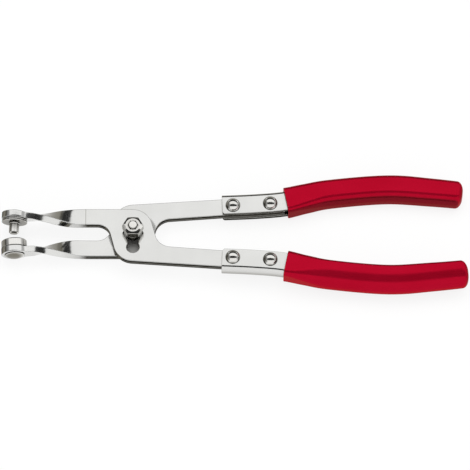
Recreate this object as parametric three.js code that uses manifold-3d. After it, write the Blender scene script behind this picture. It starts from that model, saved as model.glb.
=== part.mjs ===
// Hose clamp pliers with a two-position slip joint and swivelling tips, millimetres, +Z up.
// The tool lies flat: +X runs to the handles, +Y to the upper jaw, and the pivot axis is the Z axis.
// Z = 0 is the flat underside of the pivot bolt's head.
// Both levers are the same stamping. The rear one is turned half a turn about X, so one function makes both.
import * as THREE from "three";
import { mergeVertices } from "three/addons/utils/BufferGeometryUtils.js";
import Module from "manifold-3d";

const wasm = await Module();
wasm.setup();

// Lever plates
const PLATE_T = 4;
const PLATE_GAP = 0.15;
const EDGE_BREAK = 0.35;

// Flat outline of the stamping, from the pivot axis, with its jaw up and its arm down.
// Each corner is where two straight edges would meet, and has its fillet radius.
const JAW_OUTER = 13.05;
const JAW_WIDTH = 9.3;
const THROAT_X = 13.5;
const THROAT_R = 7.4;
const HEEL_X = 8.2;
const HEEL_Y = 17.3;
const HEEL_R = 10.5;
const CROTCH_X = 13.7;
const CROTCH_Y = 8.8;
const CROTCH_R = 8.5;
const BROW_X = 7.8;
const BROW_R = 11;
const ARM_WIDTH = 9.6;

// Jaw strip: a small jog brings the tips into line, then the strip leans out and twists onto its side
const JOG_START = 25;
const FLAT_STOP = 1;
const ROOT_LAP = 3;
const JOG_LENGTH = 26;
const JOG_DEPTH = 0.9;
const TWIST_DELAY = 4.9;
const TWIST_LENGTH = 23.7;
const TWIST_EASE = 0.05;
const LEAN_DELAY = 3.35;
const LEAN_ANGLE = 3.1;
const FRONT_TWIST = 79;
const REAR_TWIST = 82;
const NECK_WIDTH = 7.8;
const NECK_T = 3.4;
const NECK_LENGTH = 9.8;
const NECK_FLARE = 1.6;

// Round eye at the end of each jaw
const EYE_RADIUS = 7;
const EYE_T = 3.6;
const EYE_CHAMFER = 0.45;
const NECK_REACH = 2.8;

// Handle channel of bent sheet, open towards the other handle
const SHEET_T = 2;
const CHANNEL_START = 47.7;
const CHANNEL_START_Y = 17.3;
const CHANNEL_LENGTH = 120;
const CHANNEL_FIT = 0.1;
const CHANNEL_CORNER_R = 1.4;
const FOLD_OUTER_R = 1.3;
const FOLD_INNER_R = 0.2;

// Bow of the handle: how far along X and how far out each point of the centre line is from its front end
const ARM_RUN = 16.5;
const ARM_OUT = 0.8;
const BEND_RUN = 32.3;
const BEND_OUT = 2.25;
const FLARE_RUN = 44.3;
const FLARE_OUT = 5.1;
const RISE_RUN = 58.3;
const RISE_OUT = 8;
const BOW_RUN = 88.3;
const BOW_OUT = 10.7;
const PALM_RUN = 112.3;
const PALM_OUT = 9.1;
const END_RUN = 138.3;
const END_OUT = 6.3;

// Vinyl grips: the mouth's place past the last rivet, the walls, and how far the end stands past the channel
const GRIP_PAST_RIVET = 8.5;
const GRIP_FIT = 0.2;
const GRIP_EDGE_WALL = 0.9;
const GRIP_FACE_WALL = 1.3;
const MOUTH_SWELL_W = 1;
const MOUTH_SWELL_T = 0.3;
const END_TAPER_W = 0.9;
const END_TAPER_T = 0.2;
const GRIP_TAPER_LENGTH = 30;
const GRIP_CORNER_R = 2.8;
const GRIP_END_R = 3.6;
const GRIP_END_CORNER_LOSS = 0.6;
const REAR_GRIP_NOSE = 10.1;
const FRONT_GRIP_NOSE = 12.5;

// Handle rivets, set out from the channel's front end, and how far the arm's tail runs on past the last one
const RIVET_FIRST = 5.7;
const RIVET_PITCH = 20;
const TAIL_PAST_RIVET = 7.3;
const RIVET_HEAD_R = 3.95;
const RIVET_HEAD_H = 3.3;
const RIVET_SHANK_R = 2;
const RIVET_FIT = 0.1;

// Pivot bolt, washer and nut
const BOLT_HEAD_R = 6.5;
const BOLT_HEAD_T = 3;
const BOLT_HEAD_BEVEL = 0.8;
const STUD_R = 3;
const STUD_PROUD = 0.8;
const STUD_CHAMFER = 0.9;
const SHOULDER_STEP = 0.4;
const FLAT_DEPTH = 0.9;
const SHOULDER_FIT = 0.1;
const FLATS_FIT = 0.15;
const SLIP_TRAVEL = 9.5;
const WASHER_RIM = 1.5;
const WASHER_T = 1.6;
const WASHER_PLAY = 0.1;
const NUT_FLATS = 10;
const NUT_T = 5.2;
const NUT_CHAMFER = 0.55;
const NUT_FACE_INSET = 0.2;
const THREAD_FIT = 0.15;
const THREAD_CHAMFER = 0.6;

// Pin tip on the upper jaw
const PIN_R = 2.7;
const PIN_END_R = 2;
const PIN_LENGTH = 5.9;
const PIN_CHAMFER = 0.7;
const PIN_CHAMFER_R = 2.45;
const COLLAR_STEP = 0.5;
const COLLAR_H = 0.6;
const FLANGE_R = 6.9;
const FLANGE_T = 0.8;
const TIP_WASHER_R = 6.8;
const TIP_WASHER_T = 0.8;
const TIP_CHAMFER = 0.25;
const TIP_SHANK_R = 2.5;
const TIP_FIT = 0.3;
const EYE_FIT = 0.1;
const TIP_PLAY = 0.15;
const TIP_DOME_R = 5;
const TIP_DOME_H = 1.5;

// Socket tip on the lower jaw
const CUP_R = 6.9;
const CUP_T = 4.1;
const CUP_CHAMFER = 0.5;
const CUP_BACK_CHAMFER = 0.2;
const SOCKET_CLEARANCE = 0.9;
const SOCKET_DEPTH = 3.2;
const SOCKET_CHAMFER = 0.3;
const SINK_DEPTH = 0.5;
const SINK_FLARE = 0.6;
const CUP_DOME_R = 5.4;
const CUP_DOME_H = 1.7;

// Facets: round a full turn, and along curves
const ROUND = 40;
const SMALL_ROUND = 28;
const RIVET_ROUND = 20;
const FILLET_STEPS = 9;
const SEAT_STEPS = 10;
const CORNER_STEPS = 3;
const DOME_STEPS = 4;
const TAIL_STEPS = 5;
const HANDLE_STEPS = 15;
const GRIP_STEPS = 19;
const GRIP_END_STEPS = 4;
const JOG_STEPS = 3;
const TWIST_STEPS = 24;
const NECK_STEPS = 4;

// Levels
const MID_Z = BOLT_HEAD_T + PLATE_T + PLATE_GAP / 2;
const PLATE_MID = PLATE_GAP / 2 + PLATE_T / 2;
const FRONT_TOP_Z = MID_Z + PLATE_GAP / 2 + PLATE_T;
const SHOULDER_TOP_Z = FRONT_TOP_Z + WASHER_T + 2 * WASHER_PLAY;
const NUT_TOP_Z = SHOULDER_TOP_Z + NUT_T;
const STUD_TOP_Z = NUT_TOP_Z + STUD_PROUD;

// Sizes that follow from the ones above
const SHOULDER_R = STUD_R + SHOULDER_STEP;
const FLAT_HALF = SHOULDER_R - FLAT_DEPTH;
const TIP_HOLE_R = TIP_SHANK_R + TIP_FIT;
const EYE_HOLE_R = TIP_SHANK_R + EYE_FIT;
const SOCKET_R = PIN_R + SOCKET_CLEARANCE;
const TWIST_START = JOG_START + TWIST_DELAY;
const TWIST_END = TWIST_START + TWIST_LENGTH;
const EYE_X = TWIST_END + NECK_LENGTH;
const LAST_RIVET = RIVET_FIRST + RIVET_PITCH;
const TAIL_LENGTH = LAST_RIVET + TAIL_PAST_RIVET;
const GRIP_START = LAST_RIVET + GRIP_PAST_RIVET;
const CHANNEL_WIDTH = ARM_WIDTH + SHEET_T + 2 * CHANNEL_FIT;
const CHANNEL_T = PLATE_T + 2 * (SHEET_T + CHANNEL_FIT);
const CAVITY_WIDTH = CHANNEL_WIDTH + 2 * GRIP_FIT;
const CAVITY_T = CHANNEL_T + 2 * GRIP_FIT;

// Where the plate's edges lie across the handle line, inside the channel
const ARM_OUTER = CHANNEL_WIDTH / 2 - SHEET_T - CHANNEL_FIT;
const ARM_INNER = ARM_OUTER - ARM_WIDTH;
const ARM_MIDDLE = (ARM_OUTER + ARM_INNER) / 2;

// Materials
const satinNickel = () => new THREE.MeshStandardMaterial({ color: 0xdcdcd8, roughness: 0.34, metalness: 1 });
const brightNickel = () => new THREE.MeshStandardMaterial({ color: 0xe4e2dc, roughness: 0.14, metalness: 1 });
const redVinyl = () => new THREE.MeshStandardMaterial({ color: 0xc00a26, roughness: 0.36, metalness: 0 });

// Booleans: a closed three.js geometry to a solid, and back
function toSolid(geometry) {
  const bare = geometry.clone();
  bare.deleteAttribute("normal");
  bare.deleteAttribute("uv");
  const merged = mergeVertices(bare, 1e-4);
  const mesh = new wasm.Mesh({
    numProp: 3,
    vertProperties: merged.attributes.position.array,
    triVerts: new Uint32Array(merged.index.array),
  });
  return new wasm.Manifold(mesh);
}

function toGeometry(solid) {
  const mesh = solid.getMesh();
  const geometry = new THREE.BufferGeometry();
  geometry.setAttribute("position", new THREE.BufferAttribute(mesh.vertProperties, 3));
  geometry.setIndex(new THREE.BufferAttribute(mesh.triVerts, 1));
  geometry.computeVertexNormals();
  return geometry;
}

function namedMesh(name, geometry, material) {
  const mesh = new THREE.Mesh(geometry, material);
  mesh.name = name;
  return mesh;
}

function spaced(from, to, count) {
  return Array.from({ length: count + 1 }, (_, i) => from + ((to - from) * i) / count);
}

// A closed skin over rings of equal point counts, each ring anticlockwise seen from the last ring.
function loft(rings, section) {
  const count = section.length;
  const positions = rings.flat().flatMap((p) => [p.x, p.y, p.z]);
  const index = [];
  for (let r = 0; r + 1 < rings.length; r++) {
    for (let i = 0; i < count; i++) {
      const a = r * count + i;
      const b = r * count + ((i + 1) % count);
      index.push(a, b, b + count, a, b + count, a + count);
    }
  }
  const last = (rings.length - 1) * count;
  for (const [a, b, c] of THREE.ShapeUtils.triangulateShape(section, [])) {
    index.push(a, c, b);
    index.push(last + a, last + b, last + c);
  }
  const geometry = new THREE.BufferGeometry();
  geometry.setAttribute("position", new THREE.Float32BufferAttribute(positions, 3));
  geometry.setIndex(index);
  return geometry;
}

// A rectangle with rounded corners, or with chamfers where the corner takes one step, as a list of points.
function roundedRectangle(width, height, radius, steps) {
  const points = [];
  const corners = [[1, 1], [-1, 1], [-1, -1], [1, -1]];
  corners.forEach(([sx, sy], quarter) => {
    for (const angle of spaced((Math.PI / 2) * quarter, (Math.PI / 2) * (quarter + 1), steps)) {
      const x = sx * (width / 2 - radius) + radius * Math.cos(angle);
      const y = sy * (height / 2 - radius) + radius * Math.sin(angle);
      points.push(new THREE.Vector2(x, y));
    }
  });
  return points;
}

// A shape through corners given as [x, y, fillet radius], where a radius of 0 leaves the corner sharp.
function filletedShape(corners) {
  const shape = new THREE.Shape();
  const corner = (i) => new THREE.Vector2(...corners[(i + corners.length) % corners.length]);
  shape.moveTo(corners[0][0], corners[0][1]);
  corners.slice(1).forEach(([x, y, radius], index) => {
    if (radius === 0) {
      shape.lineTo(x, y);
      return;
    }
    const here = corner(index + 1);
    const back = corner(index).sub(here).normalize();
    const onward = corner(index + 2).sub(here).normalize();
    const halfAngle = Math.acos(back.dot(onward)) / 2;
    const inward = back.clone().add(onward).normalize();
    const centre = inward.multiplyScalar(radius / Math.sin(halfAngle)).add(here);
    const reach = radius / Math.tan(halfAngle);
    const first = back.multiplyScalar(reach).add(here).sub(centre).angle();
    const last = onward.multiplyScalar(reach).add(here).sub(centre).angle();
    const sweep = Math.atan2(Math.sin(last - first), Math.cos(last - first));
    for (const angle of spaced(first, first + sweep, FILLET_STEPS)) {
      shape.lineTo(centre.x + radius * Math.cos(angle), centre.y + radius * Math.sin(angle));
    }
  });
  shape.closePath();
  return shape;
}

// A turned piece about Z, from [radius, z] pairs that start and end on the axis or close on themselves.
function turned(profile, segments) {
  const points = profile.map(([r, z]) => new THREE.Vector2(r, z));
  return new THREE.LatheGeometry(points, segments).rotateX(Math.PI / 2);
}

// Half of a domed head's profile, from its rim to the axis
function domeProfile(radius, height, baseZ) {
  const sphereR = (radius * radius + height * height) / (2 * height);
  const halfAngle = Math.asin(radius / sphereR);
  const points = spaced(halfAngle, 0, DOME_STEPS).map((angle) => [
    sphereR * Math.sin(angle),
    baseZ + height - sphereR * (1 - Math.cos(angle)),
  ]);
  points[DOME_STEPS][0] = 0;
  return points;
}

// Handle centre line of the stamping below the pivot, from the channel's front end to past the grip
const handlePoints = [
  [0, 0],
  [ARM_RUN, ARM_OUT],
  [BEND_RUN, BEND_OUT],
  [FLARE_RUN, FLARE_OUT],
  [RISE_RUN, RISE_OUT],
  [BOW_RUN, BOW_OUT],
  [PALM_RUN, PALM_OUT],
  [END_RUN, END_OUT],
].map(([run, out]) => new THREE.Vector3(CHANNEL_START + run, -CHANNEL_START_Y - out, 0));
const handleLine = new THREE.CatmullRomCurve3(handlePoints, false, "catmullrom", 0.5);
const handleLength = handleLine.getLength();

// A frame on the handle line, which runs on straight past its end. Outward is away from the other handle.
function handleFrame(distance) {
  const u = THREE.MathUtils.clamp(distance / handleLength, 0, 1);
  const along = handleLine.getTangentAt(u);
  const point = handleLine.getPointAt(u).addScaledVector(along, distance - u * handleLength);
  const outward = new THREE.Vector3(along.y, -along.x, 0);
  return { point, along, outward };
}

// A point in plan, some way along the handle line and some way out from it
function besideHandle(distance, out) {
  const { point, outward } = handleFrame(distance);
  return point.addScaledVector(outward, out);
}

// Rings of a section carried back along the handle line, with the section's x outward and its y up.
function alongHandle(stations, sectionAt) {
  return stations.toReversed().map((distance) => sectionAt(distance).map((p) => {
    const place = besideHandle(distance, p.x);
    return place.setZ(PLATE_MID + p.y);
  }));
}

const tailStations = spaced(0, TAIL_LENGTH, TAIL_STEPS);
const channelStations = [...tailStations, ...spaced(TAIL_LENGTH, CHANNEL_LENGTH, HANDLE_STEPS).slice(1)];

// Flat part of the stamping: hub, arm and the root of the jaw strip
function leverOutline() {
  const jawInner = JAW_OUTER - JAW_WIDTH;
  const stripEnd = FLAT_STOP - JOG_START;
  const outerEdge = tailStations.map((distance) => besideHandle(distance, ARM_OUTER));
  const innerEdge = tailStations.map((distance) => besideHandle(distance, ARM_INNER)).reverse();
  const sharp = (p) => [p.x, p.y, 0];
  return filletedShape([
    [stripEnd, jawInner, 0],
    [-THROAT_X, jawInner, THROAT_R],
    [-HEEL_X, -HEEL_Y, HEEL_R],
    ...outerEdge.map(sharp),
    ...innerEdge.map(sharp),
    [CROTCH_X, -CROTCH_Y, CROTCH_R],
    [BROW_X, JAW_OUTER, BROW_R],
    [stripEnd, JAW_OUTER, 0],
  ]);
}

// Bore of the front lever: two round seats for the bolt, joined by a neck that passes only its flats
function slipSlot() {
  const seatR = SHOULDER_R + SHOULDER_FIT;
  const neckAngle = Math.acos((FLAT_HALF + FLATS_FIT) / seatR);
  const hole = new THREE.Path();
  hole.absarc(0, 0, seatR, -neckAngle, Math.PI + neckAngle, false);
  hole.absarc(0, -SLIP_TRAVEL, seatR, Math.PI - neckAngle, neckAngle + 2 * Math.PI, false);
  hole.closePath();
  return hole;
}

// Bore of the rear lever: the bolt's two flats keep it from turning
function keyedHole() {
  const seatR = SHOULDER_R + SHOULDER_FIT;
  const flatAngle = Math.acos((FLAT_HALF + SHOULDER_FIT) / seatR);
  const hole = new THREE.Path();
  hole.absarc(0, 0, seatR, flatAngle, Math.PI - flatAngle, false);
  hole.absarc(0, 0, seatR, Math.PI + flatAngle, 2 * Math.PI - flatAngle, false);
  hole.closePath();
  return hole;
}

// The jaw strip's own frame at a distance from the pivot along -X
function stripFrame(x, twistDegrees) {
  const lean = THREE.MathUtils.degToRad(LEAN_ANGLE);
  const leaning = Math.max(0, x - TWIST_START - LEAN_DELAY);
  const jog = THREE.MathUtils.clamp((x - JOG_START) / JOG_LENGTH, 0, 1);
  const turn = THREE.MathUtils.clamp((x - TWIST_START) / TWIST_LENGTH, 0, 1);
  const eased = turn - (TWIST_EASE * Math.sin(2 * Math.PI * turn)) / (2 * Math.PI);
  const centre = new THREE.Vector3(
    -x,
    JAW_OUTER - JAW_WIDTH / 2 + leaning * Math.tan(lean),
    PLATE_MID - JOG_DEPTH * Math.sin((Math.PI / 2) * jog),
  );
  const twist = new THREE.Matrix4().makeRotationX(-THREE.MathUtils.degToRad(twistDegrees) * eased);
  const rotation = new THREE.Matrix4().makeRotationZ(leaning > 0 ? -lean : 0).multiply(twist);
  return { centre, rotation, turn };
}

// The strip from inside the flat root, through the jog and the twist, into the eye
function jawStrip(twistDegrees) {
  const root = JOG_START - FLAT_STOP - ROOT_LAP;
  const insideEye = EYE_X - EYE_RADIUS + NECK_REACH;
  const stations = [
    root,
    ...spaced(JOG_START, TWIST_START, JOG_STEPS),
    ...spaced(TWIST_START, TWIST_END, TWIST_STEPS).slice(1),
    ...spaced(TWIST_END, insideEye, NECK_STEPS).slice(1),
  ];
  const rings = stations.map((x) => {
    const { centre, rotation, turn } = stripFrame(x, twistDegrees);
    const flare = THREE.MathUtils.clamp((x - TWIST_END) / (insideEye - TWIST_END), 0, 1);
    const slimming = turn * turn;
    const width = THREE.MathUtils.lerp(JAW_WIDTH, NECK_WIDTH, slimming) + NECK_FLARE * flare * flare;
    const thickness = THREE.MathUtils.lerp(PLATE_T, NECK_T, slimming);
    return roundedRectangle(width, thickness, EDGE_BREAK, 1)
      .map((p) => new THREE.Vector3(0, p.x, p.y).applyMatrix4(rotation).add(centre));
  });
  return loft(rings.reverse(), roundedRectangle(JAW_WIDTH, PLATE_T, EDGE_BREAK, 1));
}

// Places a piece modelled about Z in the eye's frame, with +Z on the eye's outer side.
function eyeMatrix(twistDegrees) {
  const { centre, rotation } = stripFrame(EYE_X, twistDegrees);
  return new THREE.Matrix4().makeTranslation(centre.x, centre.y, centre.z).multiply(rotation);
}

function eyeDisc() {
  const half = EYE_T / 2;
  return turned([
    [0, -half],
    [EYE_RADIUS - EYE_CHAMFER, -half],
    [EYE_RADIUS, -half + EYE_CHAMFER],
    [EYE_RADIUS, half - EYE_CHAMFER],
    [EYE_RADIUS - EYE_CHAMFER, half],
    [0, half],
  ], ROUND);
}

function rivetPlaces() {
  return [RIVET_FIRST, LAST_RIVET].map((distance) => besideHandle(distance, ARM_MIDDLE));
}

// The rivets' holes, as cutters longer than the piece is thick
function rivetDrills(thickness) {
  const radius = RIVET_SHANK_R + RIVET_FIT;
  return rivetPlaces().map((place) => toSolid(
    new THREE.CylinderGeometry(radius, radius, 2 * thickness, RIVET_ROUND)
      .rotateX(Math.PI / 2)
      .translate(place.x, place.y, PLATE_MID),
  ));
}

function leverPlate(pivotHole, twistDegrees) {
  const outline = leverOutline();
  outline.holes.push(pivotHole);
  const flat = new THREE.ExtrudeGeometry(outline, {
    depth: PLATE_T - 2 * EDGE_BREAK,
    bevelEnabled: true,
    bevelThickness: EDGE_BREAK,
    bevelSize: EDGE_BREAK,
    bevelOffset: -EDGE_BREAK,
    bevelSegments: 1,
    curveSegments: SEAT_STEPS,
  }).translate(0, 0, PLATE_MID - PLATE_T / 2 + EDGE_BREAK);
  const eyePlace = eyeMatrix(twistDegrees);
  const eyeBore = new THREE.CylinderGeometry(EYE_HOLE_R, EYE_HOLE_R, 2 * EYE_T, SMALL_ROUND)
    .rotateX(Math.PI / 2)
    .applyMatrix4(eyePlace);
  let solid = toSolid(flat)
    .add(toSolid(jawStrip(twistDegrees)))
    .add(toSolid(eyeDisc().applyMatrix4(eyePlace)))
    .subtract(toSolid(eyeBore));
  for (const hole of rivetDrills(PLATE_T)) solid = solid.subtract(hole);
  return toGeometry(solid);
}

// U section of the channel: x is outward, where the web is, and the folds are rounded.
function channelSection() {
  const outer = CHANNEL_WIDTH / 2;
  const top = CHANNEL_T / 2;
  const inner = outer - SHEET_T;
  const insideTop = top - SHEET_T;
  const points = [];
  const fold = (x, y, radius, fromDegrees, toDegrees, steps) => {
    for (const degrees of spaced(fromDegrees, toDegrees, steps)) {
      const angle = THREE.MathUtils.degToRad(degrees);
      points.push(new THREE.Vector2(x + radius * Math.cos(angle), y + radius * Math.sin(angle)));
    }
  };
  fold(outer - FOLD_OUTER_R, FOLD_OUTER_R - top, FOLD_OUTER_R, -90, 0, CORNER_STEPS);
  fold(outer - FOLD_OUTER_R, top - FOLD_OUTER_R, FOLD_OUTER_R, 0, 90, CORNER_STEPS);
  points.push(new THREE.Vector2(-outer, top));
  points.push(new THREE.Vector2(-outer, insideTop));
  fold(inner - FOLD_INNER_R, insideTop - FOLD_INNER_R, FOLD_INNER_R, 90, 0, 1);
  fold(inner - FOLD_INNER_R, FOLD_INNER_R - insideTop, FOLD_INNER_R, 0, -90, 1);
  points.push(new THREE.Vector2(-outer, -insideTop));
  points.push(new THREE.Vector2(-outer, -top));
  return points;
}

// Rounds the front corner of both flanges in plan: the cutter leaves a quarter round there.
function cornerCutter() {
  const { point, along, outward } = handleFrame(0);
  const radius = CHANNEL_CORNER_R;
  const shape = new THREE.Shape();
  shape.moveTo(-radius, -radius);
  shape.lineTo(radius, -radius);
  shape.lineTo(radius, 0);
  shape.absarc(radius, radius, radius, -Math.PI / 2, Math.PI, true);
  shape.lineTo(-radius, radius);
  shape.closePath();
  const cutter = new THREE.ExtrudeGeometry(shape, {
    depth: 2 * CHANNEL_T,
    bevelEnabled: false,
    curveSegments: CORNER_STEPS,
  });
  const place = new THREE.Matrix4().makeBasis(along, outward, new THREE.Vector3(0, 0, -1));
  place.setPosition(point.addScaledVector(outward, -CHANNEL_WIDTH / 2).setZ(PLATE_MID + CHANNEL_T));
  return cutter.applyMatrix4(place);
}

function handleChannel() {
  const section = channelSection();
  let solid = toSolid(loft(alongHandle(channelStations, () => section), section));
  solid = solid.subtract(toSolid(cornerCutter()));
  for (const hole of rivetDrills(CHANNEL_T)) solid = solid.subtract(hole);
  return toGeometry(solid);
}

// One rivet: a dome on each face of the channel, and the shank between them
function handleRivet(place) {
  const seat = CHANNEL_T / 2;
  const top = domeProfile(RIVET_HEAD_R, RIVET_HEAD_H, seat);
  const bottom = top.map(([r, z]) => [r, -z]).reverse();
  return turned([
    ...bottom,
    [RIVET_SHANK_R, -seat],
    [RIVET_SHANK_R, seat],
    ...top,
  ], RIVET_ROUND).translate(place.x, place.y, PLATE_MID);
}

// Outer section of a grip, swollen at its mouth, a little narrower towards its rounded closed end
function gripSection(distance, end) {
  const mouth = THREE.MathUtils.clamp(1 - (distance - GRIP_START) / GRIP_TAPER_LENGTH, 0, 1);
  const heel = THREE.MathUtils.clamp(1 - (end - distance) / GRIP_TAPER_LENGTH, 0, 1);
  const over = THREE.MathUtils.clamp(1 - (end - distance) / GRIP_END_R, 0, 1);
  const drawIn = GRIP_END_R * (1 - Math.sqrt(1 - over * over));
  const width = CAVITY_WIDTH + 2 * GRIP_EDGE_WALL + MOUTH_SWELL_W * mouth * mouth - END_TAPER_W * heel;
  const height = CAVITY_T + 2 * GRIP_FACE_WALL + MOUTH_SWELL_T * mouth * mouth - END_TAPER_T * heel;
  const radius = GRIP_CORNER_R * (1 - (drawIn / GRIP_END_R) * GRIP_END_CORNER_LOSS);
  return roundedRectangle(width - 2 * drawIn, height - 2 * drawIn, radius, CORNER_STEPS);
}

// One grip: a sleeve closed at its end. Its cavity has the channel's own stations, so the wall stays even.
function grip(nose) {
  const end = CHANNEL_LENGTH + nose;
  const roundedStart = end - GRIP_END_R;
  const stations = [
    ...spaced(GRIP_START, roundedStart, GRIP_STEPS),
    ...spaced(0, Math.PI / 2, GRIP_END_STEPS).slice(1).map((a) => roundedStart + GRIP_END_R * Math.sin(a)),
  ];
  const section = (distance) => gripSection(distance, end);
  const outer = toSolid(loft(alongHandle(stations, section), section(GRIP_START)));
  const cavitySection = roundedRectangle(CAVITY_WIDTH, CAVITY_T, GRIP_FIT, 1);
  const cavityStations = [
    GRIP_START - GRIP_FIT,
    ...channelStations.filter((distance) => distance > GRIP_START),
    CHANNEL_LENGTH + GRIP_FIT,
  ];
  const cavity = toSolid(loft(alongHandle(cavityStations, () => cavitySection), cavitySection));
  return toGeometry(outer.subtract(cavity));
}

// Pivot bolt: low head, shoulder with two flats, and the threaded stud in one piece
function pivotBolt() {
  const turnedBolt = turned([
    [0, 0],
    [BOLT_HEAD_R - BOLT_HEAD_BEVEL, 0],
    [BOLT_HEAD_R, BOLT_HEAD_BEVEL],
    [BOLT_HEAD_R, BOLT_HEAD_T],
    [SHOULDER_R, BOLT_HEAD_T],
    [SHOULDER_R, SHOULDER_TOP_Z],
    [STUD_R, SHOULDER_TOP_Z],
    [STUD_R, STUD_TOP_Z - STUD_CHAMFER / 2],
    [STUD_R - STUD_CHAMFER, STUD_TOP_Z],
    [0, STUD_TOP_Z],
  ], ROUND);
  const length = SHOULDER_TOP_Z - BOLT_HEAD_T;
  const width = 2 * SHOULDER_R;
  let solid = toSolid(turnedBolt);
  for (const side of [1, -1]) {
    const flat = new THREE.BoxGeometry(width, width, length)
      .translate(side * (width / 2 + FLAT_HALF), 0, BOLT_HEAD_T + length / 2);
    solid = solid.subtract(toSolid(flat));
  }
  return toGeometry(solid);
}

function pivotWasher() {
  const inner = SHOULDER_R + SHOULDER_FIT;
  const low = FRONT_TOP_Z + WASHER_PLAY;
  return ringDisc(inner, SHOULDER_R + WASHER_RIM, low, low + WASHER_T, 0);
}

function pivotNut() {
  const cornerR = NUT_FLATS / Math.sqrt(3);
  const boreR = STUD_R + THREAD_FIT;
  const faceR = NUT_FLATS / 2 - NUT_FACE_INSET;
  const rimR = faceR + 2 * NUT_CHAMFER;
  const hexagon = new THREE.CylinderGeometry(cornerR, cornerR, NUT_T, 6)
    .rotateX(Math.PI / 2)
    .rotateZ(Math.PI / 2)
    .translate(0, 0, SHOULDER_TOP_Z + NUT_T / 2);
  const chamfered = turned([
    [0, SHOULDER_TOP_Z],
    [faceR, SHOULDER_TOP_Z],
    [rimR, SHOULDER_TOP_Z + NUT_CHAMFER],
    [rimR, NUT_TOP_Z - NUT_CHAMFER],
    [faceR, NUT_TOP_Z],
    [0, NUT_TOP_Z],
  ], ROUND);
  const thread = turned([
    [0, SHOULDER_TOP_Z - THREAD_CHAMFER],
    [boreR, SHOULDER_TOP_Z - THREAD_CHAMFER],
    [boreR, NUT_TOP_Z - THREAD_CHAMFER],
    [boreR + 2 * THREAD_CHAMFER, NUT_TOP_Z + THREAD_CHAMFER],
    [0, NUT_TOP_Z + THREAD_CHAMFER],
  ], SMALL_ROUND);
  return toGeometry(toSolid(hexagon).intersect(toSolid(chamfered)).subtract(toSolid(thread)));
}

// A flat ring with chamfered outer edges, or square ones where the chamfer is 0
function ringDisc(innerR, outerR, low, high, chamfer) {
  const rim = chamfer > 0
    ? [[outerR - chamfer, low], [outerR, low + chamfer], [outerR, high - chamfer], [outerR - chamfer, high]]
    : [[outerR, low], [outerR, high]];
  return turned([[innerR, low], ...rim, [innerR, high], [innerR, low]], ROUND);
}

// Tips, modelled about Z on the eye: -Z is the working side, +Z the outer side with the domed head.
const EYE_FACE = EYE_T / 2;
const TIP_SEAT = -EYE_FACE - TIP_PLAY;
const FLANGE_SEAT = TIP_SEAT - TIP_WASHER_T - TIP_PLAY;

function tipWasher() {
  return ringDisc(TIP_HOLE_R, TIP_WASHER_R, TIP_SEAT - TIP_WASHER_T, TIP_SEAT, TIP_CHAMFER);
}

function tipFlange() {
  return ringDisc(TIP_HOLE_R, FLANGE_R, FLANGE_SEAT - FLANGE_T, FLANGE_SEAT, TIP_CHAMFER);
}

// The pin's root collar stands against the flange, and its shank runs through flange, washer and eye.
function tipPin() {
  const root = FLANGE_SEAT - FLANGE_T - TIP_PLAY;
  const end = root - PIN_LENGTH;
  const head = EYE_FACE + TIP_PLAY;
  return turned([
    [0, end],
    [PIN_END_R, end],
    [PIN_CHAMFER_R, end + PIN_CHAMFER],
    [PIN_R, root - COLLAR_H],
    [PIN_R + COLLAR_STEP, root],
    [TIP_SHANK_R, root],
    [TIP_SHANK_R, head],
    ...domeProfile(TIP_DOME_R, TIP_DOME_H, head),
  ], SMALL_ROUND);
}

// The socket stands open towards the pin, and its floor has the rivet's countersunk hole.
function tipCup() {
  const low = TIP_SEAT - CUP_T;
  const floor = low + SOCKET_DEPTH;
  return turned([
    [TIP_HOLE_R, TIP_SEAT],
    [TIP_HOLE_R, floor + SINK_DEPTH],
    [TIP_HOLE_R + SINK_FLARE, floor],
    [SOCKET_R, floor],
    [SOCKET_R, low + SOCKET_CHAMFER],
    [SOCKET_R + SOCKET_CHAMFER, low],
    [CUP_R - CUP_CHAMFER, low],
    [CUP_R, low + CUP_CHAMFER],
    [CUP_R, TIP_SEAT - CUP_BACK_CHAMFER],
    [CUP_R - CUP_BACK_CHAMFER, TIP_SEAT],
    [TIP_HOLE_R, TIP_SEAT],
  ], ROUND);
}

// Its countersunk head is flush with the socket's floor and its dome closes the outer side of the eye.
function tipCupRivet() {
  const headTop = TIP_SEAT - CUP_T + SOCKET_DEPTH;
  const dome = EYE_FACE + TIP_PLAY;
  return turned([
    [0, headTop],
    [TIP_SHANK_R + SINK_FLARE, headTop],
    [TIP_SHANK_R, headTop + SINK_DEPTH],
    [TIP_SHANK_R, dome],
    ...domeProfile(CUP_DOME_R, CUP_DOME_H, dome),
  ], SMALL_ROUND);
}

// One lever with its handle, in the stamping's own frame
function lever(side, pivotHole, twistDegrees, gripNose, tips) {
  const group = new THREE.Group();
  const [first, second] = rivetPlaces();
  group.add(namedMesh(side + "_lever_plate", leverPlate(pivotHole, twistDegrees), satinNickel()));
  group.add(namedMesh(side + "_handle_channel", handleChannel(), satinNickel()));
  group.add(namedMesh(side + "_rivet_front", handleRivet(first), brightNickel()));
  group.add(namedMesh(side + "_rivet_back", handleRivet(second), brightNickel()));
  group.add(namedMesh(side + "_grip", grip(gripNose), redVinyl()));
  const head = new THREE.Group();
  head.applyMatrix4(eyeMatrix(twistDegrees));
  tips.forEach((tip) => head.add(tip));
  group.add(head);
  group.position.z = MID_Z;
  return group;
}

const pliers = new THREE.Group();

pliers.add(lever("front", slipSlot(), FRONT_TWIST, FRONT_GRIP_NOSE, [
  namedMesh("tip_pin", tipPin(), brightNickel()),
  namedMesh("tip_flange", tipFlange(), brightNickel()),
  namedMesh("tip_washer", tipWasher(), brightNickel()),
]));

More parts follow.
